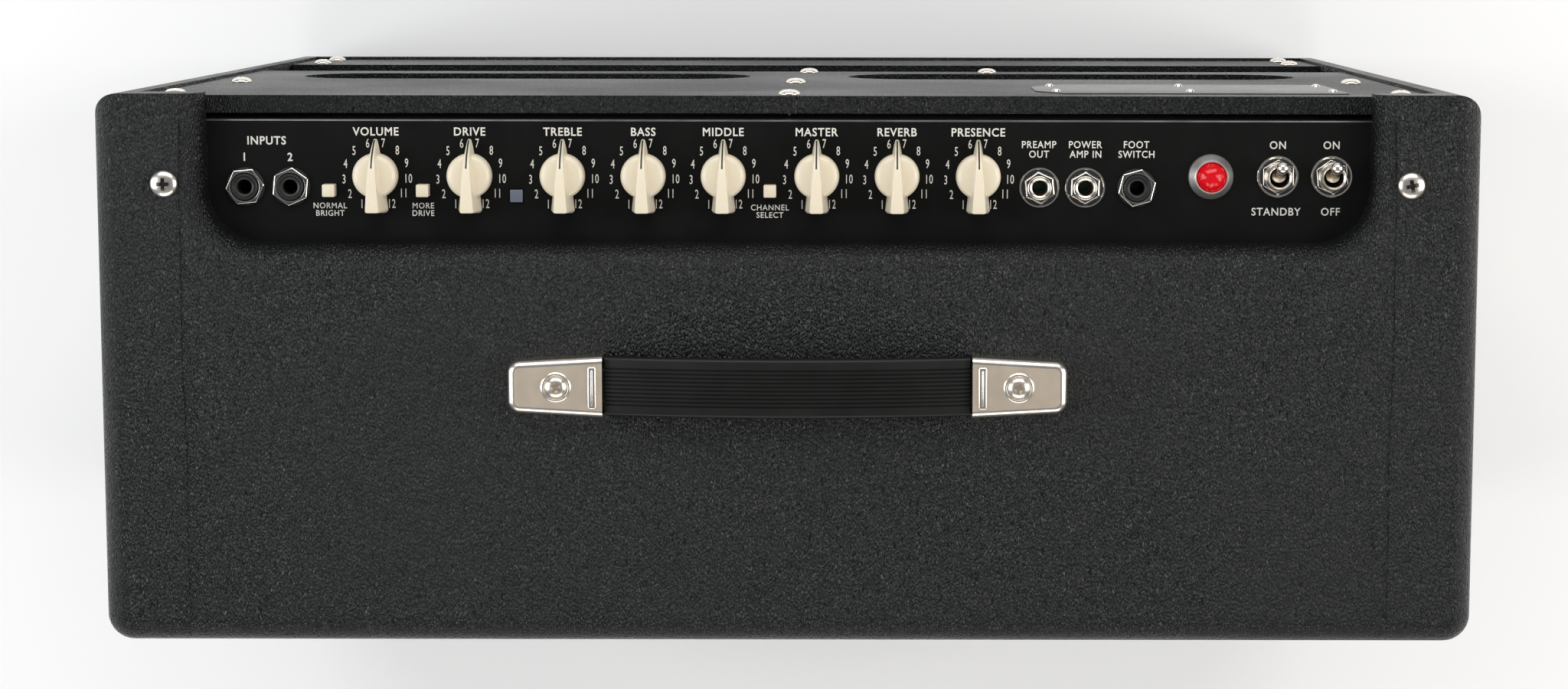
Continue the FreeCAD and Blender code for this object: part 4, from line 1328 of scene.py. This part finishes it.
@dataclass
class ControlPanel:
    """Black panel, its bare rear edge and its printing."""

    frame: Frame
    knobs: tuple[str, ...]

    def build(self) -> None:
        """Dress the panel and print on it."""
        self.frame.dress("control_panel", PANEL_PAINT)
        low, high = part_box("control_panel")
        trim = block(
            (low.x, high.y - 0.75 * MM, high.z - 0.6 * MM), (high.x, high.y - 0.05 * MM, high.z + 0.12 * MM)
        )
        soften(trim, 0.1 * MM, 2)
        piece(trim, "panel_rear_edge", [EDGE_METAL])
        self.print_words(high.z)

    def print_words(self, level: float) -> None:
        """Print every word and dial.

        Args:
            level: the height of the panel's top.
        """
        legends = Legends(level)
        row = middle("knob_volume").y
        title_y = row + 19.2 * MM
        for knob in self.knobs:
            place = middle(f"knob_{knob}")
            legends.word(knob.upper(), Face.TITLE, place.x, title_y)
            legends.dial(place.x, row + 0.2 * MM)
        words = [
            ("INPUTS", Face.TITLE, -228.3, 112.2),
            ("1", Face.TITLE, -238.2, 105),
            ("2", Face.TITLE, -218.2, 105),
            ("NORMAL", Face.SMALL, -201, 83.7),
            ("BRIGHT", Face.SMALL, -201, 80.4),
            ("MORE", Face.SMALL, -160.2, 83.7),
            ("DRIVE", Face.SMALL, -160.2, 80.4),
            ("CHANNEL", Face.SMALL, -8.3, 83.1),
            ("SELECT", Face.SMALL, -8.3, 79.8),
            ("PREAMP", Face.MARK, 109.5, 110.9),
            ("OUT", Face.MARK, 109.5, 106.7),
            ("POWER", Face.MARK, 129.8, 110.9),
            ("AMP IN", Face.MARK, 129.8, 106.7),
            ("FOOT", Face.MARK, 152.1, 110.9),
            ("SWITCH", Face.MARK, 152.1, 106.7),
            ("ON", Face.STATE, 213.9, 110.8),
            ("ON", Face.STATE, 237.4, 110.8),
            ("STANDBY", Face.STATE, 213.6, 81.6),
            ("OFF", Face.STATE, 237.4, 81.6),
        ]
        for text, face, x, y in words:
            legends.word(text, face, x * MM, y * MM)
        legends.finish()


@dataclass
class PointerKnob:
    """Cream pointer knob: low round skirt, tall wing that runs down to a point."""

    name: str
    skirt: float = 9.85 * MM
    tip: float = 16 * MM
    tail: float = 16.4 * MM
    lift: float = 0.8 * MM

    def disc(self) -> bmesh.types.BMesh:
        """Turn the skirt and the shaft under it.

        Returns:
            The skirt.
        """
        return lathe(
            [
                (0, -9 * MM),
                (3 * MM, -9 * MM),
                (3 * MM, self.lift),
                (self.skirt - 0.3 * MM, self.lift),
                (self.skirt, self.lift + 0.3 * MM),
                (self.skirt - 0.12 * MM, 5.0 * MM),
                (self.skirt - 0.45 * MM, 6.1 * MM),
                (self.skirt - 1.2 * MM, 6.9 * MM),
                (self.skirt - 2.6 * MM, 7.35 * MM),
                (5 * MM, 7.7 * MM),
                (0, 7.9 * MM),
            ],
            72,
        )

    def ridge(self, y: float) -> float:
        """Give the height of the wing's top.

        Args:
            y: the place along the wing, towards its tip.

        Returns:
            The height above the panel.
        """
        if y > -4 * MM:
            part = (y + 4 * MM) / (self.tip + 4 * MM)
            return 15.6 * MM - 12.6 * MM * part**2.6
        return 15.6 * MM - 1.4 * MM * ((-4 * MM - y) / (self.tail - 4 * MM))

    def half(self, y: float, level: float) -> float:
        """Give the wing's half width.

        Args:
            y: the place along the wing.
            level: 0 at its foot, 0.5 at its shoulder and 1 at its top.

        Returns:
            The half width.
        """
        part = max(0.0, min(1.0, (self.tip - y) / (self.tip + self.tail)))
        foot = 0.7 * MM + 4.7 * MM * part**0.72
        top = 0.35 * MM + 2.65 * MM * part**0.8
        shoulder = top + (foot - top) * 0.36
        if level < 0.5:
            return foot + (shoulder - foot) * level * 2
        return shoulder + (top - shoulder) * (level - 0.5) * 2

    def wing(self) -> bmesh.types.BMesh:
        """Shape the wing from a cut box, and bevel its long edges.

        Returns:
            The wing.
        """
        mesh = block((-0.5, -self.tail, 0), (0.5, self.tip, 1))
        slice_at(mesh, 1, [k * MM for k in (-15.2, -11, -6, -2, 2, 6, 9, 12, 14, 15.2)])
        slice_at(mesh, 2, [0.22, 0.5])
        for vert in mesh.verts:
            y, level = vert.co.y, vert.co.z
            side = 1 if vert.co.x > 0 else -1
            wide = self.half(y, level)
            if y < -15.3 * MM:
                wide *= 0.8 - 0.1 * level
                vert.co.y += 0.9 * MM * level
            vert.co.x = side * wide
            vert.co.z = self.lift + level * (self.ridge(y) - self.lift)
        bmesh.ops.recalc_face_normals(mesh, faces=mesh.faces)
        return soften(mesh, 0.34 * MM, 3)

    def index(self) -> bmesh.types.BMesh:
        """Lay the thin inlaid line along the wing's top, from its tip.

        Returns:
            The line.
        """
        start, end = 4.0 * MM, self.tip - 0.35 * MM
        mesh = block((-0.34 * MM, start, 0), (0.34 * MM, end, 1))
        slice_at(mesh, 1, [start + (end - start) * k / 12 for k in range(1, 12)])
        for vert in mesh.verts:
            rise = 0.1 * MM if vert.co.z > 0.5 else -0.5 * MM
            vert.co.z = self.ridge(vert.co.y) + rise
        return coloured(mesh, 1)

    def build(self) -> None:
        """Put the knob in its place."""
        place = middle(f"knob_{self.name}")
        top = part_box("control_panel")[1].z
        whole = moved(joined([self.disc(), self.wing(), self.index()]), at(place.x, place.y, top))
        body = f"knob_{self.name}"
        piece(whole, f"pointer_knob_{self.name}", [CREAM, BLACK_LINE], body, [body], sharp=40)


@dataclass
class PushButton:
    """Square cream push button with a soft crown."""

    name: str

    def build(self) -> None:
        """Make the button with its stem."""
        low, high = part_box(f"button_{self.name}")
        body = f"button_{self.name}"
        mesh = block(tuple(low), tuple(high))
        soften(mesh, 0.55 * MM, 4)
        crown = block(
            (low.x + 1.1 * MM, low.y + 1.1 * MM, high.z - 0.4 * MM),
            (high.x - 1.1 * MM, high.y - 1.1 * MM, high.z + 0.1 * MM),
        )
        soften(crown, 0.2 * MM, 3)
        piece(joined([mesh, crown]), f"push_button_{self.name}", [CREAM], body, [body])


@dataclass
class Jacks:
    """Jack sockets with their nuts and washers."""

    plastic: tuple[float, ...] = (-238 * MM, -218 * MM, 152.4 * MM)
    metal: tuple[float, ...] = (109.8 * MM, 129.8 * MM)
    turns: tuple[float, ...] = (0.1, 0.42, 0.28)

    def plastic_jack(self) -> bmesh.types.BMesh:
        """Turn a black jack whose mouth steps down to its bore.

        Returns:
            The jack.
        """
        body = lathe(
            [
                (3.3 * MM, -22 * MM),
                (9 * MM, -22 * MM),
                (9 * MM, -1.8 * MM),
                (5.8 * MM, -1.8 * MM),
                (5.8 * MM, 3.3 * MM),
                (5.5 * MM, 3.6 * MM),
                (4.9 * MM, 3.6 * MM),
                (4.2 * MM, 2.7 * MM),
                (3.3 * MM, 2.4 * MM),
            ],
            60,
        )
        return body

    def metal_jack(self) -> bmesh.types.BMesh:
        """Turn a metal jack with a rounded bright lip.

        Returns:
            The jack.
        """
        return lathe(
            [
                (3.3 * MM, -22 * MM),
                (9 * MM, -22 * MM),
                (9 * MM, -1.8 * MM),
                (4.5 * MM, -1.8 * MM),
                (4.5 * MM, 2.6 * MM),
                (4.3 * MM, 3.0 * MM),
                (3.9 * MM, 3.2 * MM),
                (3.5 * MM, 3.05 * MM),
                (3.3 * MM, 2.6 * MM),
            ],
            60,
        )

    def build(self) -> None:
        """Place the jacks, nuts and washers."""
        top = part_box("control_panel")[1].z
        y = middle("plastic_jacks").y
        black = [moved(self.plastic_jack(), at(x, y, top)) for x in self.plastic]
        piece(joined(black), "plastic_jacks_made", [BLACK], replaces=["plastic_jacks"])
        plated = [moved(self.metal_jack(), at(x, y, top)) for x in self.metal]
        piece(joined(plated), "metal_jacks_made", [SOFT], replaces=["metal_jacks"])
        nuts = []
        for x, turn in zip(self.plastic, self.turns):
            nuts.append(moved(hex_nut(15.2 * MM, 5.95 * MM, 2.1 * MM, turn), at(x, y, top + 0.35 * MM)))
            nuts.append(coloured(moved(washer(5.95 * MM, 8.4 * MM, 0.4 * MM), at(x, y, top + 0.02 * MM)), 1))
        for x, turn in zip(self.metal, (0.62, 0.5)):
            nuts.append(moved(hex_nut(12.6 * MM, 4.65 * MM, 1.9 * MM, turn), at(x, y, top + 0.45 * MM)))
            nuts.append(moved(washer(7.9 * MM, 8.8 * MM, 0.55 * MM), at(x, y, top + 0.02 * MM)))
            nuts.append(coloured(moved(washer(4.6 * MM, 8.2 * MM, 0.3 * MM), at(x, y, top + 0.02 * MM)), 1))
        piece(joined(nuts), "jack_nuts_made", [BRIGHT, BLACK, NUT_TOP_PAINTED_REFLECTION], replaces=["jack_nuts"])


@dataclass
class ToggleSwitches:
    """Two toggle switches with bat levers, stepped sleeves, nuts and washers."""

    names: tuple[str, ...] = ("standby", "power")
    tilt: float = math.radians(-19)
    pivot: float = 2 * MM

    def sleeve(self) -> bmesh.types.BMesh:
        """Turn the threaded sleeve and the case below the panel.

        Returns:
            The sleeve.
        """
        return lathe(
            [
                (4.3 * MM, -7.7 * MM),
                (9 * MM, -7.7 * MM),
                (9 * MM, -1.8 * MM),
                (5.9 * MM, -1.8 * MM),
                (5.9 * MM, 3.4 * MM),
                (5.5 * MM, 3.7 * MM),
                (5.9 * MM, 4.0 * MM),
                (5.9 * MM, 4.6 * MM),
                (5.5 * MM, 4.9 * MM),
                (5.9 * MM, 5.2 * MM),
                (5.9 * MM, 6.6 * MM),
                (5.4 * MM, 7.3 * MM),
                (4.9 * MM, 7.4 * MM),
                (4.4 * MM, 7.0 * MM),
                (4.3 * MM, 6.4 * MM),
            ],
            60,
        )

    def lever(self) -> bmesh.types.BMesh:
        """Turn the lever: tail, collar, slim bat and round ball.

        Returns:
            The lever.
        """
        ball, reach = 2.7 * MM, 14.8 * MM
        arc = [
            (ball * math.sin(math.radians(a)), reach - ball * math.cos(math.radians(a)))
            for a in range(36, 180, 16)
        ]
        low = [(0, -4 * MM), (1.1 * MM, -4 * MM), (1.5 * MM, 0), (2.9 * MM, 0.6 * MM), (3.1 * MM, 2.2 * MM)]
        neck = [(2.4 * MM, 3.2 * MM), (1.9 * MM, 4.2 * MM), (1.35 * MM, 10.6 * MM)]
        return lathe([*low, *neck, *arc, (0, reach + ball)], 40)

    def build(self) -> None:
        """Place both switches."""
        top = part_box("control_panel")[1].z
        y = middle("toggle_cases").y
        cases, nuts = [], []
        for number, name in enumerate(self.names):
            x = middle(f"toggle_{name}").x
            cases.append(moved(self.sleeve(), at(x, y, top)))
            nut = hex_nut(13.4 * MM, 6 * MM, 2.3 * MM, 0.53 + 0.1 * number)
            nuts.append(moved(nut, at(x, y, top + 0.4 * MM)))
            nuts.append(moved(washer(8.0 * MM, 9.1 * MM, 0.6 * MM), at(x, y, top + 0.02 * MM)))
            nuts.append(coloured(moved(washer(6 * MM, 8.3 * MM, 0.35 * MM), at(x, y, top + 0.02 * MM)), 1))
            lean = at(x, y, top + self.pivot) @ Matrix.Rotation(self.tilt, 4, "X")
            body = f"toggle_{name}"
            piece(moved(self.lever(), lean), f"lever_{name}", [SOFT], body, [body])
        piece(joined(cases), "toggle_sleeves", [SOFT], replaces=["toggle_cases"])
        piece(joined(nuts), "toggle_nuts_made", [BRIGHT, BLACK, NUT_TOP_PAINTED_REFLECTION], replaces=["toggle_nuts"])


@dataclass
class PilotLamp:
    """Red faceted jewel in a spun bezel."""

    frame: Frame

    def build(self) -> None:
        """Make the bezel and the jewel."""
        place = middle("jewel_bezel")
        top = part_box("control_panel")[1].z
        spun = Plated("spun_nickel", "nickel", Polish.SPUN, (0.95, 0.93, 0.89), (place.x, place.y, 0))
        bezel = lathe(
            [
                (6.3 * MM, 0.05 * MM),
                (9.85 * MM, 0.05 * MM),
                (9.85 * MM, 1.2 * MM),
                (9.5 * MM, 1.9 * MM),
                (8.2 * MM, 3.4 * MM),
                (7.5 * MM, 4.8 * MM),
                (7.1 * MM, 5.2 * MM),
                (6.7 * MM, 5.15 * MM),
                (6.5 * MM, 4.6 * MM),
                (6.3 * MM, 4.0 * MM),
            ],
            80,
        )
        piece(moved(bezel, at(place.x, place.y, top)), "jewel_bezel_made", [spun], replaces=["jewel_bezel"])
        gem = bmesh.new()
        bmesh.ops.create_icosphere(gem, subdivisions=3, radius=6.15 * MM)
        moved(gem, Matrix.Rotation(0.35, 4, "X"))
        geom = gem.verts[:] + gem.edges[:] + gem.faces[:]
        cut = bmesh.ops.bisect_plane(
            gem, geom=geom, dist=1e-7, plane_co=(0, 0, -0.4 * MM), plane_no=(0, 0, 1), clear_inner=True
        )
        rim = [e for e in cut["geom_cut"] if isinstance(e, bmesh.types.BMEdge)]
        bmesh.ops.edgeloop_fill(gem, edges=rim)
        bmesh.ops.scale(gem, vec=(1, 1, 0.78), verts=gem.verts)
        for vert in gem.verts:
            if vert.co.z < 0:
                vert.co.z = -3.8 * MM
        bmesh.ops.recalc_face_normals(gem, faces=gem.faces)
        soften(gem, 0.08 * MM, 1)
        moved(gem, at(place.x, place.y, top + 4.8 * MM))
        piece(gem, "jewel_made", [JEWEL], replaces=["jewel_lens"], sharp=5)
        self.frame.dress("lamp_holder", BLACK)
        low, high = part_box("channel_lamp")
        window = soften(block(tuple(low), tuple(high)), 0.3 * MM, 3)
        piece(window, "lamp_window_made", [LAMP_GREY], replaces=["channel_lamp"])


# ---------------------------------------------------------------------------------------
# Handle
# ---------------------------------------------------------------------------------------
@dataclass
class Handle:
    """Strap handle: grooved strap, two pressed caps and their screws."""

    grooves: int = 10
    groove_pitch: float = 1.75 * MM
    wall: float = 0.9 * MM

    def cap(self, side: int) -> bmesh.types.BMesh:
        """Press one cap: tapered, with rolled edges, a rib and a seat for its screw.

        Args:
            side: -1 for the left and 1 for the right.

        Returns:
            The cap in its place.
        """
        low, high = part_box("handle_caps")
        mid_y = (low.y + high.y) / 2
        near, far = 80 * MM, high.x
        wide, slim = 13.5 * MM, 11.2 * MM
        tall = high.z - low.z
        outline = [(near, -wide), (far, -slim), (far, slim), (near, wide)]
        shell = prism(outline, 0, tall)

        def upright(edge: bmesh.types.BMEdge) -> bool:
            """Say whether an edge is one of the two upright corners at the outer end.

            Args:
                edge: the edge.

            Returns:
                True if it is.
            """
            ends = [v.co for v in edge.verts]
            return abs(ends[0].z - ends[1].z) > tall / 2 and ends[0].x > near + 1 * MM

        soften(shell, 5.0 * MM, 8, upright)

        def rolled(edge: bmesh.types.BMEdge) -> bool:
            """Say whether an edge is on the top and not at the strap's mouth.

            Args:
                edge: the edge.

            Returns:
                True if it is.
            """
            ends = [v.co for v in edge.verts]
            return all(c.z > tall - 1e-5 for c in ends) and not all(c.x < near + 1e-5 for c in ends)

        soften(shell, 3.1 * MM, 7, rolled)
        gone = [f for f in shell.faces if f.normal.z < -0.9 or f.normal.x < -0.9]
        bmesh.ops.delete(shell, geom=gone, context="FACES")
        bmesh.ops.solidify(shell, geom=shell.faces[:], thickness=self.wall)
        bmesh.ops.recalc_face_normals(shell, faces=shell.faces)
        # Flat top faces take material 1, the satin nickel whose darker tan colour is a painted reflection.
        for face in shell.faces:
            if face.normal.z > 0.999 and face.calc_center_median().z > tall - 1e-4:
                face.material_index = 1
        rib = block(
            (near + 2.6 * MM, -9.4 * MM, tall - 0.6 * MM), (near + 6.2 * MM, 9.0 * MM, tall + 0.75 * MM)
        )
        soften(rib, 1.2 * MM, 5)
        vein = block((near + 4.0 * MM, -7.8 * MM, tall), (near + 4.8 * MM, 7.6 * MM, tall + 1.05 * MM))
        soften(vein, 0.3 * MM, 3)
        seat = lathe(
            [
                (5.0 * MM, tall - 0.3 * MM),
                (6.9 * MM, tall - 0.3 * MM),
                (6.3 * MM, tall + 0.28 * MM),
                (5.7 * MM, tall + 0.5 * MM),
                (5.2 * MM, tall + 0.35 * MM),
                (5.0 * MM, tall),
            ]
        )
        moved(seat, at(100 * MM, 0, 0))
        whole = joined([shell, rib, vein, seat])
        if side < 0:
            bmesh.ops.scale(whole, vec=(-1, 1, 1), verts=whole.verts)
            bmesh.ops.reverse_faces(whole, faces=whole.faces)
        return moved(whole, at(0, mid_y, low.z))

    def under(self, x: float) -> float:
        """Give the height of the strap's underside above its ends' underside.

        Args:
            x: the shift or place along X.

        Returns:
            The height.
        """
        return 1.6 * MM + 8.4 * MM * (1 - min(1.0, abs(x) / (79 * MM)) ** 2)

    def strap(self) -> None:
        """Make the strap: a grooved bar that bows up between flat tongues."""
        low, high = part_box("handle_strap")
        mid_y = (low.y + high.y) / 2
        half = (high.y - low.y) / 2 - 0.1 * MM
        reach = 79 * MM
        bar = block((-reach, -half, 0), (reach, half, 6 * MM))

        def lengthwise(edge: bmesh.types.BMEdge) -> bool:
            """Say whether an edge runs along the strap.

            Args:
                edge: the edge.

            Returns:
                True if it does.
            """
            return abs(edge.verts[0].co.x - edge.verts[1].co.x) > reach

        soften(bar, 1.6 * MM, 4, lengthwise)
        cuts = []
        for number in range(self.grooves):
            middle_y = (number - (self.grooves - 1) / 2) * self.groove_pitch
            cuts += [middle_y - 0.42 * MM, middle_y - 0.12 * MM, middle_y + 0.12 * MM, middle_y + 0.42 * MM]
        slice_at(bar, 1, cuts)
        for vert in bar.verts:
            place = vert.co.y / self.groove_pitch + (self.grooves - 1) / 2
            nearest = round(place)
            if 0 <= nearest < self.grooves and abs(place - nearest) * self.groove_pitch < 0.2 * MM:
                if vert.co.z > 5.5 * MM:
                    vert.co.z -= 0.55 * MM
        slice_at(bar, 0, [reach * k / 24 for k in range(-23, 24)])
        for vert in bar.verts:
            vert.co.z += self.under(vert.co.x)
        tongue = 114 * MM
        parts = [bar]
        for side in (-1, 1):
            ends = sorted((side * (reach - 6 * MM), side * tongue))
            flat = block((ends[0], -7.6 * MM, 2.0 * MM), (ends[1], 7.6 * MM, 5.4 * MM))
            parts.append(soften(flat, 1 * MM, 2))
        whole = joined(parts)
        bmesh.ops.recalc_face_normals(whole, faces=whole.faces)
        moved(whole, at(0, mid_y, low.z))
        piece(whole, "strap_made", [STRAP], "strap", ["handle_strap"], sharp=50)

    def build(self) -> None:
        """Build the caps, the strap and the screws."""
        caps = joined([self.cap(-1), self.cap(1)])
        piece(caps, "handle_caps_made", [SOFT, SATIN], replaces=["handle_caps"], sharp=50)
        self.strap()
        place = middle("handle_screws")
        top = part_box("handle_caps")[1].z
        screws = []
        for x, turn in ((-100 * MM, 0.25), (100 * MM, 0.55)):
            screw = moved(phillips(4.9 * MM, 2.3 * MM, 2 * MM, 24 * MM), Matrix.Rotation(turn, 4, "Z"))
            screws.append(moved(screw, at(x, place.y, top)))
        piece(joined(screws), "handle_screws_made", [SOFT], replaces=["handle_screws"])
        place = middle("chassis_screws")
        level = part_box("top_board")[1].z
        mounts = []
        for x, turn in ((-269.5 * MM, 0.0), (269.5 * MM, 0.2)):
            screw = moved(phillips(6.0 * MM, 2.6 * MM, 2 * MM, 22 * MM), Matrix.Rotation(turn, 4, "Z"))
            mounts.append(moved(screw, at(x, place.y, level)))
        piece(joined(mounts), "chassis_screws_made", [SOFT], replaces=["chassis_screws"])


# ---------------------------------------------------------------------------------------
# Front and speaker
# ---------------------------------------------------------------------------------------
@dataclass
class Front:
    """Leaning front: stretched grille cloth, its frame, baffle and speaker."""

    frame: Frame
    width: float = 562 * MM
    height: float = 423 * MM
    lean: float = math.atan2(26, 464)

    def tilted(self, inward: float, up: float) -> Matrix:
        """Give the matrix from the leaning front's own frame to the object's.

        Args:
            inward: how far behind the front the origin goes.
            up: how far up the front the origin goes.

        Returns:
            The matrix.
        """
        base = at(0, -133.5 * MM, 12 * MM) @ Matrix.Rotation(-self.lean, 4, "X")
        return base @ at(0, inward, up)

    def cloth(self) -> None:
        """Stretch the cloth flat, drawn in very slightly over the opening."""
        mesh = bmesh.new()
        bmesh.ops.create_grid(mesh, x_segments=56, y_segments=42, size=0.5)
        bmesh.ops.scale(mesh, vec=(self.width, self.height, 1), verts=mesh.verts)
        for vert in mesh.verts:
            across = 1 - (2 * vert.co.x / self.width) ** 2
            along = 1 - (2 * vert.co.y / self.height) ** 2
            vert.co.z = -0.25 * MM * across * along
        moved(mesh, Matrix.Rotation(math.pi / 2, 4, "X"))
        moved(mesh, self.tilted(10.4 * MM, 233.5 * MM))
        cloth = piece(mesh, "grille_cloth_made", [CLOTH], replaces=["grille_cloth"])
        thick = cloth.modifiers.new("weight", "SOLIDIFY")
        thick.thickness = 0.6 * MM
        thick.offset = 0

    def build(self) -> None:
        """Dress the woodwork and the speaker, and stretch the cloth."""
        self.cloth()
        for node, finish in (
            ("grille_frame", BLACK_PLY),
            ("baffle_board", BLACK_PLY),
            ("speaker_basket", BASKET),
            ("speaker_magnet", FERRITE),
            ("speaker_pole_plates", STEEL),
            ("speaker_cone", PAPER),
            ("speaker_suspension", BLACK),
            ("speaker_bolts", STEEL),
        ):
            self.frame.dress(node, finish)


# ---------------------------------------------------------------------------------------
# Chassis and what hangs in it
# ---------------------------------------------------------------------------------------
@dataclass
class Chassis:
    """Steel tray with its board, valves, transformers, inlet and the reverb tank."""

    frame: Frame
    spring_radius: float = 2.6 * MM
    spring_turns: int = 110

    def build(self) -> None:
        """Dress the parts and wind the springs."""
        for node, finish in (
            ("chassis_tray", STEEL),
            ("circuit_board", BOARD),
            ("filter_capacitors", CAN),
            ("potentiometers", STEEL),
            ("push_switches", BLACK),
            ("mains_inlet", BLACK),
            ("power_transformer", CORE),
            ("output_transformer", CORE),
            ("tube_sockets", CERAMIC),
            ("power_tubes", GLASS),
            ("preamp_tubes", GLASS),
            ("tube_shields", ALUMINIUM),
            ("reverb_tank", STEEL),
        ):
            self.frame.dress(node, finish)
        self.springs()

    def springs(self) -> None:
        """Wind the two reverb springs along X."""
        low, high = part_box("reverb_springs")
        length = high.x - low.x
        parts = []
        for y in (low.y + self.spring_radius, high.y - self.spring_radius):
            coil = bmesh.new()
            wire = bmesh.ops.create_circle(coil, segments=5, radius=0.3 * MM)["verts"]
            bmesh.ops.rotate(coil, verts=wire, matrix=Matrix.Rotation(math.pi / 2, 3, "X"))
            bmesh.ops.translate(coil, verts=wire, vec=(self.spring_radius - 0.3 * MM, 0, 0))
            steps = self.spring_turns * 10
            bmesh.ops.spin(
                coil,
                geom=coil.verts[:] + coil.edges[:],
                cent=(0, 0, 0),
                axis=(0, 0, 1),
                dvec=(0, 0, length / steps),
                angle=2 * math.pi * self.spring_turns,
                steps=steps,
                use_merge=False,
            )
            bmesh.ops.recalc_face_normals(coil, faces=coil.faces)
            moved(coil, Matrix.Rotation(math.pi / 2, 4, "Y"))
            parts.append(moved(coil, at(low.x, y, (low.z + high.z) / 2)))
        piece(joined(parts), "reverb_springs_made", [STEEL], replaces=["reverb_springs"])


# ---------------------------------------------------------------------------------------
# Studio
# ---------------------------------------------------------------------------------------
@dataclass
class Studio:
    """Pale floor, soft lights all round and a high camera."""

    camera_at: tuple[float, float, float] = (35.5 * MM, 196.0 * MM, 1789.6 * MM)
    camera_lean: float = -0.114
    camera_roll: float = 0.0016
    lens: float = 69.99
    shift: Point = (-0.055, -0.03)

    def light(self, name: str, place: Sequence[float], size: Point, power: float, warm: Colour) -> None:
        """Hang a soft light that faces the object.

        Args:
            name: its name.
            place: where it hangs.
            size: its width and height.
            power: its power in watts.
            warm: its colour.
        """
        data = bpy.data.lights.new(name, "AREA")
        data.shape = "RECTANGLE"
        data.size, data.size_y = size
        data.energy = power
        data.color = warm
        lamp = bpy.data.objects.new(name, data)
        lamp.location = place
        aim = Vector((0, 0, 0.35)) - Vector(place)
        lamp.rotation_euler = aim.to_track_quat("-Z", "Y").to_euler()
        bpy.context.scene.collection.objects.link(lamp)

    def floor(self) -> None:
        """Lay the pale floor."""
        mesh = bmesh.new()
        bmesh.ops.create_grid(mesh, x_segments=1, y_segments=1, size=6)
        data = bpy.data.meshes.new("floor")
        mesh.to_mesh(data)
        mesh.free()
        paint = bpy.data.materials.new("floor_paint")
        paint.use_nodes = True
        surface = paint.node_tree.nodes["Principled BSDF"]
        surface.inputs["Base Color"].default_value = (0.97, 0.97, 0.97, 1)
        surface.inputs["Roughness"].default_value = 0.9
        surface.inputs["Specular IOR Level"].default_value = 0.1
        data.materials.append(paint)
        ground = bpy.data.objects.new("floor", data)
        bpy.context.scene.collection.objects.link(ground)

    def build(self) -> None:
        """Set up the floor, the lights and the camera."""
        scene = bpy.context.scene
        self.floor()
        world = scene.world or bpy.data.worlds.new("studio")
        scene.world = world
        world.use_nodes = True
        backdrop = world.node_tree.nodes["Background"]
        backdrop.inputs["Color"].default_value = (0.9, 0.93, 1.0, 1)
        backdrop.inputs["Strength"].default_value = 0.2
        white = (1.0, 0.985, 0.96)
        self.light("rear_box", (0, 2.2, 2.1), (3.4, 1.5), 50, white)
        self.light("left_box", (-2.3, 0.1, 1.7), (1.5, 2.2), 38, (0.95, 0.98, 1.0))
        self.light("right_box", (2.3, 0.1, 1.7), (1.5, 2.2), 38, (1.0, 0.98, 0.95))
        self.light("front_box", (0, -2.5, 2.1), (3.4, 1.2), 36, (1.0, 0.95, 0.88))
        scene.view_settings.view_transform = "Standard"
        data = bpy.data.cameras.new("camera")
        data.lens = self.lens
        data.sensor_width = 36
        data.shift_x, data.shift_y = self.shift
        camera = bpy.data.objects.new("camera", data)
        camera.location = self.camera_at
        camera.rotation_euler = (self.camera_lean, 0, self.camera_roll)
        scene.collection.objects.link(camera)
        scene.camera = camera


def main() -> None:
    """Build the amplifier round its frame."""
    logging.basicConfig(level=logging.INFO, format="%(name)s %(message)s")
    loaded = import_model()
    frame = Frame(loaded)
    knobs = ("volume", "drive", "treble", "bass", "middle", "master", "reverb", "presence")
    Studio().build()
    Cabinet(frame).build()
    RearPanels(frame).build()
    ControlPanel(frame, knobs).build()
    for knob in knobs:
        PointerKnob(knob).build()
    for button in ("bright", "more", "channel"):
        PushButton(button).build()
    Jacks().build()
    ToggleSwitches().build()
    PilotLamp(frame).build()
    Handle().build()
    Front(frame).build()
    Chassis(frame).build()


if __name__ == "__main__":
    main()
